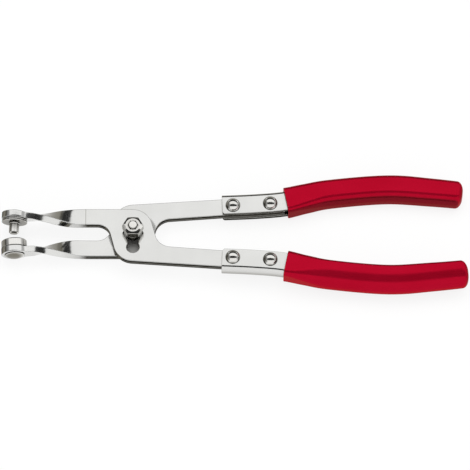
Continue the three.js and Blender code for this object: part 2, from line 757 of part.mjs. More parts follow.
const rearLever = lever("rear", keyedHole(), REAR_TWIST, REAR_GRIP_NOSE, [
  namedMesh("tip_cup", tipCup(), brightNickel()),
  namedMesh("tip_cup_rivet", tipCupRivet(), brightNickel()),
]);
rearLever.rotation.x = Math.PI;
pliers.add(rearLever);

pliers.add(namedMesh("pivot_bolt", pivotBolt(), brightNickel()));
pliers.add(namedMesh("pivot_washer", pivotWasher(), brightNickel()));
pliers.add(namedMesh("pivot_nut", pivotNut(), brightNickel()));

export default pliers;
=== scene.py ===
# Hose clamp pliers: the looks of both levers, their grips, the pivot and the swivelling tips.
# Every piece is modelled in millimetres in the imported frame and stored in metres.
import bisect
import math

import bpy
from mathutils import Matrix, Vector
from mathutils.geometry import delaunay_2d_cdt


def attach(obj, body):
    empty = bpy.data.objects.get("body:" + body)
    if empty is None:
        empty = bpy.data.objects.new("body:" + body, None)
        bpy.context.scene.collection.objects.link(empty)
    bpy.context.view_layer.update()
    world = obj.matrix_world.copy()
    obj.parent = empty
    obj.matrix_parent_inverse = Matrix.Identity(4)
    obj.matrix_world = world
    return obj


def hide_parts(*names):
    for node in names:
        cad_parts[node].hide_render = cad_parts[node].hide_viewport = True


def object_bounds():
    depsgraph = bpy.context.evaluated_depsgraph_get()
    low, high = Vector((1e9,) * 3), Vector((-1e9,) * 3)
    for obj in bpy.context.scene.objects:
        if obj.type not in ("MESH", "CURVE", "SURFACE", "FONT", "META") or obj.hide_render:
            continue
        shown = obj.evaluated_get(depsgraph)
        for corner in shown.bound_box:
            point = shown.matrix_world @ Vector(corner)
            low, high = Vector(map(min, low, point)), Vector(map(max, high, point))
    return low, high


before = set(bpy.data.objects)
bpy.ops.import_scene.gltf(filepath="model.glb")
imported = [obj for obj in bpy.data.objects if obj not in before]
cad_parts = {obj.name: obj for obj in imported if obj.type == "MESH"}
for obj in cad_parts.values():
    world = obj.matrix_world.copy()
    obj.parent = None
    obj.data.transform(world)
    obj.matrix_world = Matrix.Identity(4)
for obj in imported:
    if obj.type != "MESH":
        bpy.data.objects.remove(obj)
cad_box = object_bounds()

MM = 0.001
TAU = 2 * math.pi

# Lever plates
PLATE_T = 4
PLATE_GAP = 0.15
EDGE_R = 0.34
EDGE_STEPS = 4

# Flat outline of the stamping, with its jaw up and its arm down: sharp corners and their fillets
JAW_OUTER = 13.05
JAW_WIDTH = 9.3
JAW_MIDDLE = JAW_OUTER - JAW_WIDTH / 2
THROAT_X = 13.5
THROAT_R = 7.4
HEEL_X = 8.2
HEEL_Y = 17.3
HEEL_R = 10.5
CROTCH_X = 13.7
CROTCH_Y = 8.8
CROTCH_R = 8.5
BROW_X = 7.8
BROW_R = 11
ARM_WIDTH = 9.6

# Jaw strip: jog, lean and twist, then the neck and the eye
JOG_START = 25
JOG_LENGTH = 26
JOG_DEPTH = 0.9
TWIST_START = 29.9
TWIST_LENGTH = 23.7
TWIST_EASE = 0.05
TWIST_END = TWIST_START + TWIST_LENGTH
LEAN_START = 33.25
LEAN_EASE = 2
LEAN_ANGLE = math.radians(3.1)
FRONT_TWIST = (math.radians(79), math.radians(5.5))
REAR_TWIST = (math.radians(82), 0)
LAG_START = 44
LAG_END = 61
NECK_WIDTH = 7.8
NECK_T = 3.4
NECK_FLARE = 1.6
NECK_FLARE_END = 59.2
EYE_X = 63.4
EYE_RADIUS = 7
EYE_T = 3.6
EYE_BLEND = 0.8
EYE_HOLE_R = 2.6

# Handle channel and the line that it follows
SHEET_T = 2
CHANNEL_START = 47.7
CHANNEL_START_Y = 17.3
CHANNEL_LENGTH = 120
CHANNEL_FIT = 0.1
CHANNEL_CORNER_R = 1.4
CHANNEL_EDGE_R = 0.22
FOLD_OUTER_R = 2.4
FOLD_INNER_R = 0.4
TAIL_LENGTH = 33
HANDLE_POINTS = (
    (0, 0), (16.5, 0.8), (32.3, 2.25), (44.3, 5.1), (58.3, 8), (88.3, 10.7), (112.3, 9.1), (138.3, 6.3)
)

# Vinyl grips
GRIP_START = 34.2
GRIP_FIT = 0.2
GRIP_EDGE_WALL = 0.9
GRIP_FACE_WALL = 1.3
MOUTH_SWELL_W = 1
MOUTH_SWELL_T = 0.3
END_TAPER_W = 0.9
END_TAPER_T = 0.2
GRIP_TAPER_LENGTH = 30
GRIP_CORNER_R = 2.8
GRIP_CROWN = {"front": (11, 7.5), "rear": (2.8, 2.8)}
GRIP_BROW = {"front": (2, 2), "rear": (4.6, 6.3)}
GRIP_SHAPING = 26
GRIP_END_R = 3.7
GRIP_END_DRAW_W = 5.4
GRIP_END_DRAW_T = 3.6
GRIP_END_CORNER_LOSS = 0.85
CORE_FOLD_GAIN = 1.1
CORE_RETREAT = 2.6
CORE_SLIM_W = 1.2
CORE_SLIM_T = 0.5
CORE_BLEND = (3, 12)
GRIP_LIP_R = 0.35
REAR_GRIP_NOSE = 10.1
FRONT_GRIP_NOSE = 12.5

# Handle rivets
RIVET_FIRST = 5.7
RIVET_PITCH = 20
RIVET_HEAD_R = 3.95
RIVET_HEAD_H = 3.3
RIVET_SHANK_R = 2
RIVET_FIT = 0.1

# Pivot bolt, washer and nut
BOLT_HEAD_R = 6.5
BOLT_HEAD_T = 3
BOLT_HEAD_BEVEL = 0.8
SHOULDER_R = 3.4
SHOULDER_FIT = 0.1
FLAT_HALF = 2.5
FLATS_FIT = 0.15
SLIP_TRAVEL = 9.5
WASHER_R = 4.9
WASHER_T = 1.6
WASHER_PLAY = 0.1
NUT_SIDES = 6
NUT_FLATS = 10
NUT_T = 5.2
NUT_FACE_INSET = 1.1
NUT_CORNER_R = 5.72
COUNTERSINK = 0.05
STUD_R = 2.4
STUD_PROUD = 0.8
STUD_CHAMFER = 0.35
THREAD_FIT = 0.1
THREAD_PITCH = 1
THREAD_DEPTH = 0.55

# Swivelling tips
PIN_R = 2.7
PIN_END_R = 2
PIN_LENGTH = 5.9
PIN_CHAMFER = 0.7
PIN_CHAMFER_R = 2.68
COLLAR_STEP = 0.5
COLLAR_H = 0.6
FLANGE_R = 6.9
FLANGE_T = 0.8
TIP_WASHER_R = 6.8
TIP_WASHER_T = 0.8
TIP_EDGE_R = 0.36
TIP_SHANK_R = 2.5
TIP_HOLE_R = 2.8
TIP_PLAY = 0.15
TIP_DOME_R = 5
TIP_DOME_H = 1.5
CUP_R = 6.9
CUP_T = 4.1
CUP_CHAMFER = 0.5
CUP_BACK_CHAMFER = 0.2
SOCKET_R = 3.6
SOCKET_DEPTH = 3.2
SOCKET_CHAMFER = 0.3
SINK_DEPTH = 0.5
SINK_FLARE = 0.6
CUP_DOME_R = 5.4
CUP_DOME_H = 1.7

# Small roundings
RIVET_RIM_H = 0.25
DOME_RIM_H = 0.2
EDGE_SHRINK = 0.8
CAVITY_FOLD_LOSS = 0.1
SOFT_R = 0.08
RIVET_RIM_R = 0.06
HEAD_EDGE_R = 0.25
HEAD_SEAT_R = 0.1
WASHER_EDGE_R = 0.2
NUT_FACE_R = 0.1
NUT_EDGE_R = 0.3
NUT_SINK_SLOPE = 1.2
STUD_POINT_SLOPE = 2
STUD_POINT_STEP = 0.2
PIN_POINT_R = 0.25
PIN_SHOULDER_R = 0.4
PIN_ROOT_R = 0.1
CUP_EDGE_R = 0.15
SINK_RIM_R = 0.03
SINK_RIVET_R = 0.05

# How finely everything is divided
SHARPEST_MITRE = 0.1
CAP_TOLERANCE = 1e-5
NORMAL_WEIGHT = 60
NUT_COLUMNS = (0, 0.012, 0.03, 0.07, 0.16, 0.3, 0.43, 0.57, 0.7, 0.84, 0.93, 0.97, 0.988)
SMALL_STEPS = 3
CORNER_STATIONS = 6
SPAN_STEPS = 60
TAIL_STEPS = 12
FILLET_STEPS = 20
STRIP_STEPS = 50
STRIP_ROWS = 8
EYE_STEPS = 72
EYE_ROWS = 4
SEAT_STEPS = 28
HOLE_STEPS = 40
OUTLINE_SPACING = 1.2
CREASE_REACH = 0.6
CREASE_STEPS = 6
HUB_SPACING = 3
INNER_CLEARANCE = 0.4
WALL_ROWS = 4
WALL_ROUNDING = 1
CHANNEL_FOLD_STEPS = 5
CHANNEL_STEPS = 60
GRIP_CORNER_STEPS = 12
GRIP_END_STEPS = 10
GRIP_STEPS = 90
DOME_STEPS = 12
ROUND = 72
STUD_ROWS = 48
NUT_ROWS = 40

# Levels and widths that follow from these
MID_Z = BOLT_HEAD_T + PLATE_T + PLATE_GAP / 2
PLATE_MID = (PLATE_GAP + PLATE_T) / 2
PLATE_PITCH = PLATE_T + PLATE_GAP
FRONT_TOP_Z = MID_Z + PLATE_GAP / 2 + PLATE_T
SHOULDER_TOP_Z = FRONT_TOP_Z + WASHER_T + 2 * WASHER_PLAY
NUT_TOP_Z = SHOULDER_TOP_Z + NUT_T
STUD_TOP_Z = NUT_TOP_Z + STUD_PROUD
CHANNEL_WIDTH = ARM_WIDTH + SHEET_T + 2 * CHANNEL_FIT
CHANNEL_T = PLATE_T + 2 * (SHEET_T + CHANNEL_FIT)
ARM_OUTER = CHANNEL_WIDTH / 2 - SHEET_T - CHANNEL_FIT
ARM_INNER = ARM_OUTER - ARM_WIDTH
CAVITY_WIDTH = CHANNEL_WIDTH + 2 * GRIP_FIT
CAVITY_T = CHANNEL_T + 2 * GRIP_FIT

# Photograph's camera: the tool seen from 63 degrees above, with the pivot's top left of the middle
IMAGE_SIZE = 470
MM_PER_PIXEL = 0.535
VIEW_ELEVATION = math.radians(63.353)
VIEW_ROLL = math.radians(0.115)
PIVOT_PIXEL = (132.97, 230.81)
VIEW_DISTANCE = 4000
SENSOR_MM = 36
CAMERA_CLIP = (0.1, 100)

# Colours, linear
SATIN_LIGHT = (0.78, 0.78, 0.77)
SATIN_DARK = (0.73, 0.73, 0.72)
# The cut edges' bands: partly the cut steel's own finish, partly painted reflection and shade
SHEARED_LIGHT = (0.2, 0.195, 0.185)
SHEARED_MIDDLE = (0.07, 0.068, 0.062)
SHEARED_DARK = (0.012, 0.012, 0.011)
SHEARED_TINT = (0.3, 0.3, 0.3, 1)
BRIGHT_LIGHT = (0.84, 0.83, 0.81)
BRIGHT_DARK = (0.78, 0.77, 0.74)
# Painted shade in the turned pieces' corners, where little light gets in
SHUT_IN_SHADE = (0.06, 0.057, 0.048)
# Painted shade on the plates: where they face away, where little light gets in, low on the web and along the
# bend
PAINTED_SHADE = (0.2, 0.19, 0.16)
VINYL_LIGHT = (0.46, 0.004, 0.024)
VINYL_DEEP = (0.43, 0.003, 0.02)
# Painted shade on the grips' sides that face away from the light
VINYL_SHADE = (0.2, 0.008, 0.016)
VINYL_GLOSS = {"Metallic": 0.52, "Specular_IOR_Level": 0.1, "Specular_Tint": (1, 0.02, 0.05, 1)}
TABLE_COLOUR = (0.86, 0.86, 0.86)
TABLE_SHADED = (0.16, 0.16, 0.16)
TABLE_GLOW = 0.84
TABLE_REACH = 30

# Where plate is painted darker as shade by the way it faces, from -1 to 1 along an axis, and how much shade
# in front
SHADE_BACK = (0.36, 0.46)
SHADE_LEFT = (-0.5, -0.64)
SHADE_RIGHT = (0.62, 0.8)
SHADE_RIGHT_SHARE = 0.6
SHADE_FRONT = (-0.82, -0.96)
SATIN_FRONT_SHADE = 0.15
WALL_FRONT_SHADE = 0.2
BRIGHT_FRONT_SHADE = 1

# Where shade is painted because little light gets in: open at, shut at, and within how many millimetres
SATIN_SHUT = (0.62, 0.3, 14)
BRIGHT_SHUT = (0.97, 0.6, 5)
OCCLUSION_SAMPLES = 6

# Painted shade low on the channel's web and along the jaw's bend, and the rubbed bearing face's roughness
WEB_FACING = (-0.7, -0.95)
WEB_BRIGHT_Z = 10.6
WEB_SHADED_Z = 5.8
WEB_SHADE_SHARE = 0.95
BEND_LINE = 25.35
BEND_LINE_HALF = (0.1, 0.3)
BEND_LINE_SHARE = 0.5
FADE = 1
RUBBED_REACH = (14.5, 15.5)
RUBBED_ROUGHNESS = 0.62

# Cut edges: levels of their bands as shares of a plate's height, partly their own finish and partly painted
# reflection and shade, and where along the jaw they are painted as bright as the faces
WALL_WAVER = 0.04
STREAK_FOOT = (0.2, 0.3)
STREAK_TOP = (0.46, 0.54)
DARK_BAND_FOOT = (0.46, 0.56)
LIGHT_STREAK_SPAN = (0.3, 0.6)
LIGHT_STREAK_LEAST = 0.5
BRIGHT_EDGE_FROM = -24.5
BRIGHT_EDGE_TO = -29

# Vinyl painted darker as shade by the way it faces
GRIP_PARTING = 3
INNER_SHADE_FACING = (0.72, 0.86)
VINYL_BACK = (0.3, 0.6)
VINYL_UNDER = (0.05, -0.3)
VINYL_ENDS = (0.6, 0.9)

# Noises: scale per metre, or that with the stretch and detail too
SATIN_CLOUDS = 60
SATIN_SCRATCHES = ((900, (0.04, 1, 1)), (700, (1, 0.05, 1)))
WALL_DRAG = (1500, (1, 1, 0.08), 3)
WALL_WAVES = 260
BRIGHT_CLOUDS = 260
TOOL_MARKS = 1600
VINYL_WAVES = (110, (0.35, 1, 1))
VINYL_SCUFFS = (420, (0.4, 1, 1), 4)
VINYL_PORES = 2600
VINYL_PORE_SHARE = 0.05

# The noises' spans of use, the roughness that they give, and bumps as (strength, millimetres)
NOISE_SPAN = (0.3, 0.7)
BRIGHT_CLOUD_SPAN = (0.35, 0.7)
SCRATCH_SPAN = (0.12, 0.4)
SCUFF_SPAN = (0.35, 0.75)
SATIN_ROUGHNESS = (0.11, 0.17)
WALL_ROUGHNESS = (0.34, 0.14)
BRIGHT_ROUGHNESS = (0.07, 0.15)
VINYL_ROUGHNESS = (0.17, 0.24)
SATIN_BUMP = (0.3, 0.003)
WALL_BUMP = (0.3, 0.01)
BRIGHT_BUMP = (0.15, 0.01)
VINYL_BUMP = (0.3, 0.05)

# Studio: each part's strength, and its edges. Tilts are degrees from straight up, positive to the back.
STUDIO_COLOUR = (1, 1, 0.99)
BACK_BOX = 1
BACK_BOX_TILTS = ((0.5, 3.5), (46, 54))
FRONT_BOX = 0.95
FRONT_BOX_TILTS = (-37, -32)
BACK_WALL = 0.4
BACK_WALL_TILTS = (76, 84)
GAP_LIGHT = 0.03
LEFT_SIDE = 0.3
LEFT_EDGE = (-0.8, -0.62)
RIGHT_SIDE = 0.5
RIGHT_EDGE = (0.8, 0.92)
SKIRT_LIGHT = 0.9
SKIRT_HEIGHT = (3, 2)
CEILING_LAMP = 1.57
CEILING_LAMP_ANGLE = 70


# Small helpers
def clamp(value, low=0.0, high=1.0):
    return max(low, min(high, value))


def lerp(a, b, share):
    return a + (b - a) * share


def spaced(start, end, count):
    return [start + (end - start) * i / count for i in range(count + 1)]


def smoothed(share):
    share = clamp(share)
    return share * share * (3 - 2 * share)


def in_scene(name, data):
    """A new object in the scene."""
    thing = bpy.data.objects.new(name, data)
    bpy.context.scene.collection.objects.link(thing)
    return thing


# Plane outlines
def arc_points(centre, radius, start, end, count):
    return [Vector(centre) + radius * Vector((math.cos(a), math.sin(a))) for a in spaced(start, end, count)]


def corner_arc(before, here, after, radius, steps):
    """Points of the fillet at a corner, or the corner itself where the radius is 0."""
    here = Vector(here)
    if radius <= 0:
        return [here]
    back = (Vector(before) - here).normalized()
    onward = (Vector(after) - here).normalized()
    half = back.angle(onward) / 2
    centre = here + (back + onward).normalized() * (radius / math.sin(half))
    reach = radius / math.tan(half)
    first = here + back * reach - centre
    last = here + onward * reach - centre
    start = math.atan2(first.y, first.x)
    sweep = math.atan2(first.x * last.y - first.y * last.x, first.dot(last))
    return arc_points(centre, radius, start, start + sweep, steps)


def rounded_ring(corners, steps):
    """A closed outline through (x, y, fillet radius) corners, with equally many points on each fillet."""
    points = []
    for i, (x, y, radius) in enumerate(corners):
        before = corners[i - 1][:2]
        after = corners[(i + 1) % len(corners)][:2]
        points += corner_arc(before, (x, y), after, radius, steps)
    return points


def rounded_line(corners, steps):
    """As rounded_ring, but open: its first and last corners stay as they are."""
    first, *middle, last = corners
    return rounded_ring([(*first[:2], 0), *middle, (*last[:2], 0)], steps)


def finely(points, spacing):
    """The closed outline with its long edges divided."""
    fine = []
    for i, here in enumerate(points):
        onward = points[(i + 1) % len(points)]
        count = max(1, math.ceil((onward - here).length / spacing))
        fine += [here.lerp(onward, k / count) for k in range(count)]
    return fine


def inset(points, distance):
    """The closed outline moved to its left, where the metal is, with mitred corners."""
    moved = []
    for i, here in enumerate(points):
        back = (here - points[i - 1]).normalized()
        onward = (points[(i + 1) % len(points)] - here).normalized()
        normal = Vector((-back.y - onward.y, back.x + onward.x))
        normal.normalize()
        half = math.sqrt(max(SHARPEST_MITRE, (1 + back.dot(onward)) / 2))
        moved.append(here + normal * (distance / half))
    return moved


# Meshes
def new_piece(node, points, faces, slot, body, walls=()):
    """A node's look from points in millimetres, smooth over small edges. The walls are its sheared faces."""
    name = node + "_look"
    mesh = bpy.data.meshes.new(name)
    mesh.from_pydata([tuple(c * MM for c in p) for p in points], [], faces)
    mesh.materials.append(COVERINGS[slot])
    if walls:
        mesh.materials.append(SHEARED)
    for index in walls:
        mesh.polygons[index].material_index = 1
    for polygon in mesh.polygons:
        polygon.use_smooth = True
    mesh.validate()
    piece = in_scene(name, mesh)
    normals = piece.modifiers.new("face_normals", "WEIGHTED_NORMAL")
    normals.weight = NORMAL_WEIGHT
    normals.keep_sharp = True
    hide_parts(node)
    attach(piece, body)


def ring_faces(count, rings, start=0):
    """Quads between successive closed rings of count points."""
    faces = []
    for r in range(rings - 1):
        a = start + r * count
        b = a + count
        for i in range(count):
            j = (i + 1) % count
            faces.append((a + i, a + j, b + j, b + i))
    return faces


def revolved(profile_at, angles, closed):
    """Points and faces of a turned piece from profile_at(angle), a list of (radius, z) from its lowest point.

    An open profile starts and ends on the axis. The profile runs anticlockwise with the radius to the right.
    """
    first = profile_at(0.0)
    points = []
    faces = []
    inner = first if closed else first[1:-1]
    count = len(inner)
    columns = len(angles)
    for angle in angles:
        profile = profile_at(angle)
        for r, z in (profile if closed else profile[1:-1]):
            points.append(Vector((r * math.cos(angle), r * math.sin(angle), z)))
    for c in range(columns):
        a = c * count
        b = ((c + 1) % columns) * count
        for i in range(count if closed else count - 1):
            j = (i + 1) % count
            faces.append((a + i, b + i, b + j, a + j))
    if not closed:
        low, high = len(points), len(points) + 1
        points.append(Vector((0, 0, first[0][1])))
        points.append(Vector((0, 0, first[-1][1])))
        for c in range(columns):
            a = c * count
            b = ((c + 1) % columns) * count
            faces.append((low, b, a))
            faces.append((high, a + count - 1, b + count - 1))
    return points, faces


def turned_piece(name, corners, place, body, closed=False):
    """A bright piece from (radius, z) corners, or (radius, z, fillet) ones, turned about the local Z axis."""
    full = [(*corner, SOFT_R)[:3] for corner in corners]
    rounded = rounded_ring if closed else rounded_line
    profile = [(p.x, p.y) for p in rounded(full, SMALL_STEPS)]
    points, faces = revolved(lambda angle: profile, spaced(0, TAU, ROUND)[:-1], closed)
    new_piece(name, [place @ p for p in points], faces, "bright_nickel", body)


def dome(radius, height, base):
    """Profile corners of a domed head from its rim to the axis, none of them filleted."""
    sphere = (radius**2 + height**2) / (2 * height)
    angles = spaced(math.asin(radius / sphere), 0, DOME_STEPS)
    return [(sphere * math.sin(a), base + height - sphere * (1 - math.cos(a)), 0) for a in angles]


# Handle line
def handle_samples():
    """The handle's centre line as (distance, point, direction), through its points in even steps."""
    line = [Vector((CHANNEL_START + run, -CHANNEL_START_Y - out)) for run, out in HANDLE_POINTS]
    line = [2 * line[0] - line[1], *line, 2 * line[-1] - line[-2]]
    samples = []
    for before, start, end, after in zip(line, line[1:], line[2:], line[3:]):
        leave = (end - before) / 2
        arrive = (after - start) / 2
        curve = 3 * (end - start) - 2 * leave - arrive
        cubic = 2 * (start - end) + leave + arrive
        for t in spaced(0, 1, SPAN_STEPS)[(1 if samples else 0):]:
            point = start + leave * t + curve * t**2 + cubic * t**3
            along = (leave + 2 * curve * t + 3 * cubic * t**2).normalized()
            distance = samples[-1][0] + (point - samples[-1][1]).length if samples else 0
            samples.append((distance, point, along))
    return samples


HANDLE = handle_samples()
HANDLE_DISTANCES = [sample[0] for sample in HANDLE]


def beside_handle(distance, out):
    """The point some way along the handle line and some way out from it, and straight on past its ends."""
    i = bisect.bisect_left(HANDLE_DISTANCES, distance, 1, len(HANDLE) - 1)
    (d0, p0, a0), (d1, p1, a1) = HANDLE[i - 1], HANDLE[i]
    share = clamp((distance - d0) / (d1 - d0))
    along = a0.lerp(a1, share).normalized()
    point = p0.lerp(p1, share) + along * (distance - lerp(d0, d1, share))
    return point + out * Vector((along.y, -along.x))


def handle_ring(distance, section):
    """A section's points at that distance, with its x outward and its y up."""
    ring = []
    for out, up in section:
        place = beside_handle(distance, out)
        ring.append(Vector((place.x, place.y, PLATE_MID + up)))
    return ring


# Jaw strip
def strip_frame(x, twist):
    """The jaw strip's own frame at x along -X from the pivot. A twist is its angle and how far it lags."""
    angle, lag = twist
    turn = clamp((x - TWIST_START) / TWIST_LENGTH)
    behind = lag * math.sin(math.pi * clamp((x - LAG_START) / (LAG_END - LAG_START))) ** 2
    eased = turn - TWIST_EASE * math.sin(TAU * turn) / TAU
    into_lean = clamp((x - LEAN_START + LEAN_EASE) / (2 * LEAN_EASE))
    aside = LEAN_EASE * into_lean**2 + max(0, x - LEAN_START - LEAN_EASE)
    jog = clamp((x - JOG_START) / JOG_LENGTH)
    sunk = JOG_DEPTH * math.sin(math.pi / 2 * jog)
    centre = Vector((-x, JAW_MIDDLE + aside * math.tan(LEAN_ANGLE), PLATE_MID - sunk))
    lean = Matrix.Rotation(-LEAN_ANGLE * into_lean, 3, "Z")
    return centre, lean @ Matrix.Rotation(behind - angle * eased, 3, "X")


def strip_half_width(x):
    turn = clamp((x - TWIST_START) / TWIST_LENGTH)
    flare = clamp((x - TWIST_END) / (NECK_FLARE_END - TWIST_END))
    neck = (lerp(JAW_WIDTH, NECK_WIDTH, turn**2) + NECK_FLARE * flare**2) / 2
    chord = math.sqrt(max(0, EYE_RADIUS**2 - (EYE_X - x) ** 2))
    near = clamp(1 - abs(neck - chord) / EYE_BLEND)
    return max(neck, chord) + EYE_BLEND * near**2 / 4


def strip_thickness(x):
    turn = clamp((x - TWIST_START) / TWIST_LENGTH)
    into_eye = smoothed((x - NECK_FLARE_END + EYE_BLEND) / (2 * EYE_BLEND))
    return lerp(lerp(PLATE_T, NECK_T, turn**2), EYE_T, into_eye)


def bent(point, height, twist):
    """Where a point of the flat blank goes once the jaw is jogged, leant and twisted."""
    centre, rotation = strip_frame(-point.x, twist)
    across = Vector((0, point.y - JAW_MIDDLE, height * strip_thickness(-point.x) / PLATE_T))
    return centre + rotation @ across


def eye_place(twist):
    centre, rotation = strip_frame(EYE_X, twist)
    return Matrix.Translation(centre) @ rotation.to_4x4()


# Lever plates
def blank_outline():
    """The stamping's outline before its jaw is twisted, anticlockwise from the inner edge of the jaw."""
    tail = spaced(0, TAIL_LENGTH, TAIL_STEPS)
    outer = [beside_handle(d, ARM_OUTER) for d in tail]
    inner = [beside_handle(d, ARM_INNER) for d in reversed(tail)]
    jaw_inner = JAW_OUTER - JAW_WIDTH
    flat = rounded_line([
        (-JOG_START, jaw_inner, 0),
        (-THROAT_X, jaw_inner, THROAT_R),
        (-HEEL_X, -HEEL_Y, HEEL_R),
        *[(p.x, p.y, 0) for p in outer],
        *[(p.x, p.y, 0) for p in inner],
        (CROTCH_X, -CROTCH_Y, CROTCH_R),
        (BROW_X, JAW_OUTER, BROW_R),
        (-JOG_START, JAW_OUTER, 0),
    ], FILLET_STEPS)
    along_strip = spaced(JOG_START, NECK_FLARE_END, STRIP_STEPS)
    upper = [Vector((-x, JAW_MIDDLE + strip_half_width(x))) for x in along_strip[1:]]
    lower = [Vector((-x, JAW_MIDDLE - strip_half_width(x))) for x in reversed(along_strip[1:])]
    open_angle = math.acos((EYE_X - NECK_FLARE_END) / EYE_RADIUS)
    eye = arc_points((-EYE_X, JAW_MIDDLE), EYE_RADIUS, open_angle, TAU - open_angle, EYE_STEPS)
    return finely([*flat, *upper, *eye[1:-1], *lower], OUTLINE_SPACING)


def circle_hole(centre, radius, count):
    """A round hole, clockwise, so that the metal is on its left."""
    return arc_points(centre, radius, 0, -TAU, count)[:-1]


def bolt_hole(from_level, travel):
    """An arc over the shoulder and one below, lower by the travel. Both start that angle off the level."""
    seat = SHOULDER_R + SHOULDER_FIT
    ring = arc_points((0, 0), seat, from_level, math.pi - from_level, SEAT_STEPS)
    ring += arc_points((0, -travel), seat, math.pi + from_level, TAU - from_level, SEAT_STEPS)
    return ring[::-1]


def slip_slot():
    """Two round seats for the bolt, joined by a neck that passes only its flats."""
    return bolt_hole(-math.acos((FLAT_HALF + FLATS_FIT) / (SHOULDER_R + SHOULDER_FIT)), SLIP_TRAVEL)


def keyed_hole():
    return bolt_hole(math.acos((FLAT_HALF + SHOULDER_FIT) / (SHOULDER_R + SHOULDER_FIT)), 0)


def rivet_places():
    middle = (ARM_OUTER + ARM_INNER) / 2
    return [beside_handle(d, middle) for d in (RIVET_FIRST, RIVET_FIRST + RIVET_PITCH)]


def distance_to_ring(point, ring):
    """Distance from a point to a closed outline, positive inside it."""
    nearest = math.inf
    turns = 0
    for i, a in enumerate(ring):
        b = ring[(i + 1) % len(ring)]
        edge = b - a
        share = clamp((point - a).dot(edge) / edge.length_squared)
        nearest = min(nearest, (point - a - edge * share).length)
        if (a.y > point.y) != (b.y > point.y) and point.x < a.x + edge.x * (point.y - a.y) / edge.y:
            turns += 1
    return nearest if turns % 2 else -nearest


def inner_points(outline, holes):
    """Points over the blank's face, close together where the jaw bends."""
    wanted = []
    crease = spaced(JOG_START - CREASE_REACH, JOG_START + CREASE_REACH, CREASE_STEPS)
    strip = spaced(JOG_START + 2 * CREASE_REACH, NECK_FLARE_END, STRIP_STEPS)
    for x in [*crease, *strip]:
        half = strip_half_width(x) - EDGE_R
        for v in spaced(-half, half, STRIP_ROWS)[1:-1]:
            wanted.append(Vector((-x, JAW_MIDDLE + v)))
    for radius in spaced(EYE_HOLE_R, EYE_RADIUS, EYE_ROWS)[1:-1]:
        wanted += circle_hole((-EYE_X, JAW_MIDDLE), radius, EYE_STEPS)
    low = Vector((-JOG_START + HUB_SPACING, min(p.y for p in outline)))
    high = Vector((max(p.x for p in outline), JAW_OUTER))
    for i in range(math.ceil((high.x - low.x) / HUB_SPACING)):
        for j in range(math.ceil((high.y - low.y) / HUB_SPACING)):
            wanted.append(low + HUB_SPACING * Vector((i, j)))
    kept = []
    for point in wanted:
        clear = distance_to_ring(point, outline) > INNER_CLEARANCE
        if clear and all(distance_to_ring(point, hole) < -INNER_CLEARANCE for hole in holes):
            kept.append(point)
    return kept


def filled(rings, extra):
    """Triangles over the plane area inside the first ring and outside the others, on the extra points too."""
    points = [p for ring in rings for p in ring] + extra
    edges = []
    start = 0
    for ring in rings:
        edges += [(start + i, start + (i + 1) % len(ring)) for i in range(len(ring))]
        start += len(ring)
    found, _, faces, origin, _, _ = delaunay_2d_cdt(points, edges, [], 1, CAP_TOLERANCE)
    triangles = []
    for face in faces:
        middle = sum((found[i] for i in face), Vector((0, 0))) / len(face)
        if all(distance_to_ring(middle, hole) < 0 for hole in rings[1:]):
            triangles.append(tuple(origin[i][0] for i in face))
    return triangles


def lever_plate(side, hole, twist, place, body):
    outline = blank_outline()
    rivets = [circle_hole(p, RIVET_SHANK_R + RIVET_FIT, HOLE_STEPS) for p in rivet_places()]
    eye = circle_hole((-EYE_X, JAW_MIDDLE), EYE_HOLE_R, HOLE_STEPS)
    loops = [outline, hole, eye, *rivets]
    wall_top = PLATE_T / 2 - EDGE_R
    turns = spaced(0, math.pi / 2, EDGE_STEPS)
    rounding = [(EDGE_R * (1 - math.cos(a)), wall_top + EDGE_R * math.sin(a)) for a in turns]
    upright = [(0, height) for height in spaced(-wall_top, wall_top, WALL_ROWS)[1:-1]]
    levels = [(inwards, -height) for inwards, height in reversed(rounding)] + upright + rounding
    points = []
    faces = []
    starts = []
    for loop in loops:
        start = len(points)
        for inwards, height in levels:
            points += [(p, height) for p in inset(loop, inwards)]
        faces += ring_faces(len(loop), len(levels), start)
        starts.append(start)
    first_row = EDGE_STEPS - WALL_ROUNDING
    last_row = EDGE_STEPS + WALL_ROWS + WALL_ROUNDING
    walls = range(first_row * len(outline), last_row * len(outline))
    rims = [inset(loop, EDGE_R) for loop in loops]
    extra = inner_points(rims[0], rims[1:])
    caps = []
    for level, height in ((0, -PLATE_T / 2), (len(levels) - 1, PLATE_T / 2)):
        cap = [start + level * len(rim) + i for start, rim in zip(starts, rims) for i in range(len(rim))]
        caps.append([*cap, *range(len(points), len(points) + len(extra))])
        points += [(p, height) for p in extra]
    low, high = caps
    for a, b, c in filled(rims, extra):
        faces.append((low[a], low[c], low[b]))
        faces.append((high[a], high[b], high[c]))
    shaped = [place @ bent(p, height, twist) for p, height in points]
    new_piece(side + "_lever_plate", shaped, faces, "satin_nickel", body, walls)


# Handle channels
def hidden_share(distance):
    """0 where the channel shows, and 1 inside the grip, where its look is slimmer."""
    start, end = CORE_BLEND
    return smoothed((distance - GRIP_START - start) / (end - start))


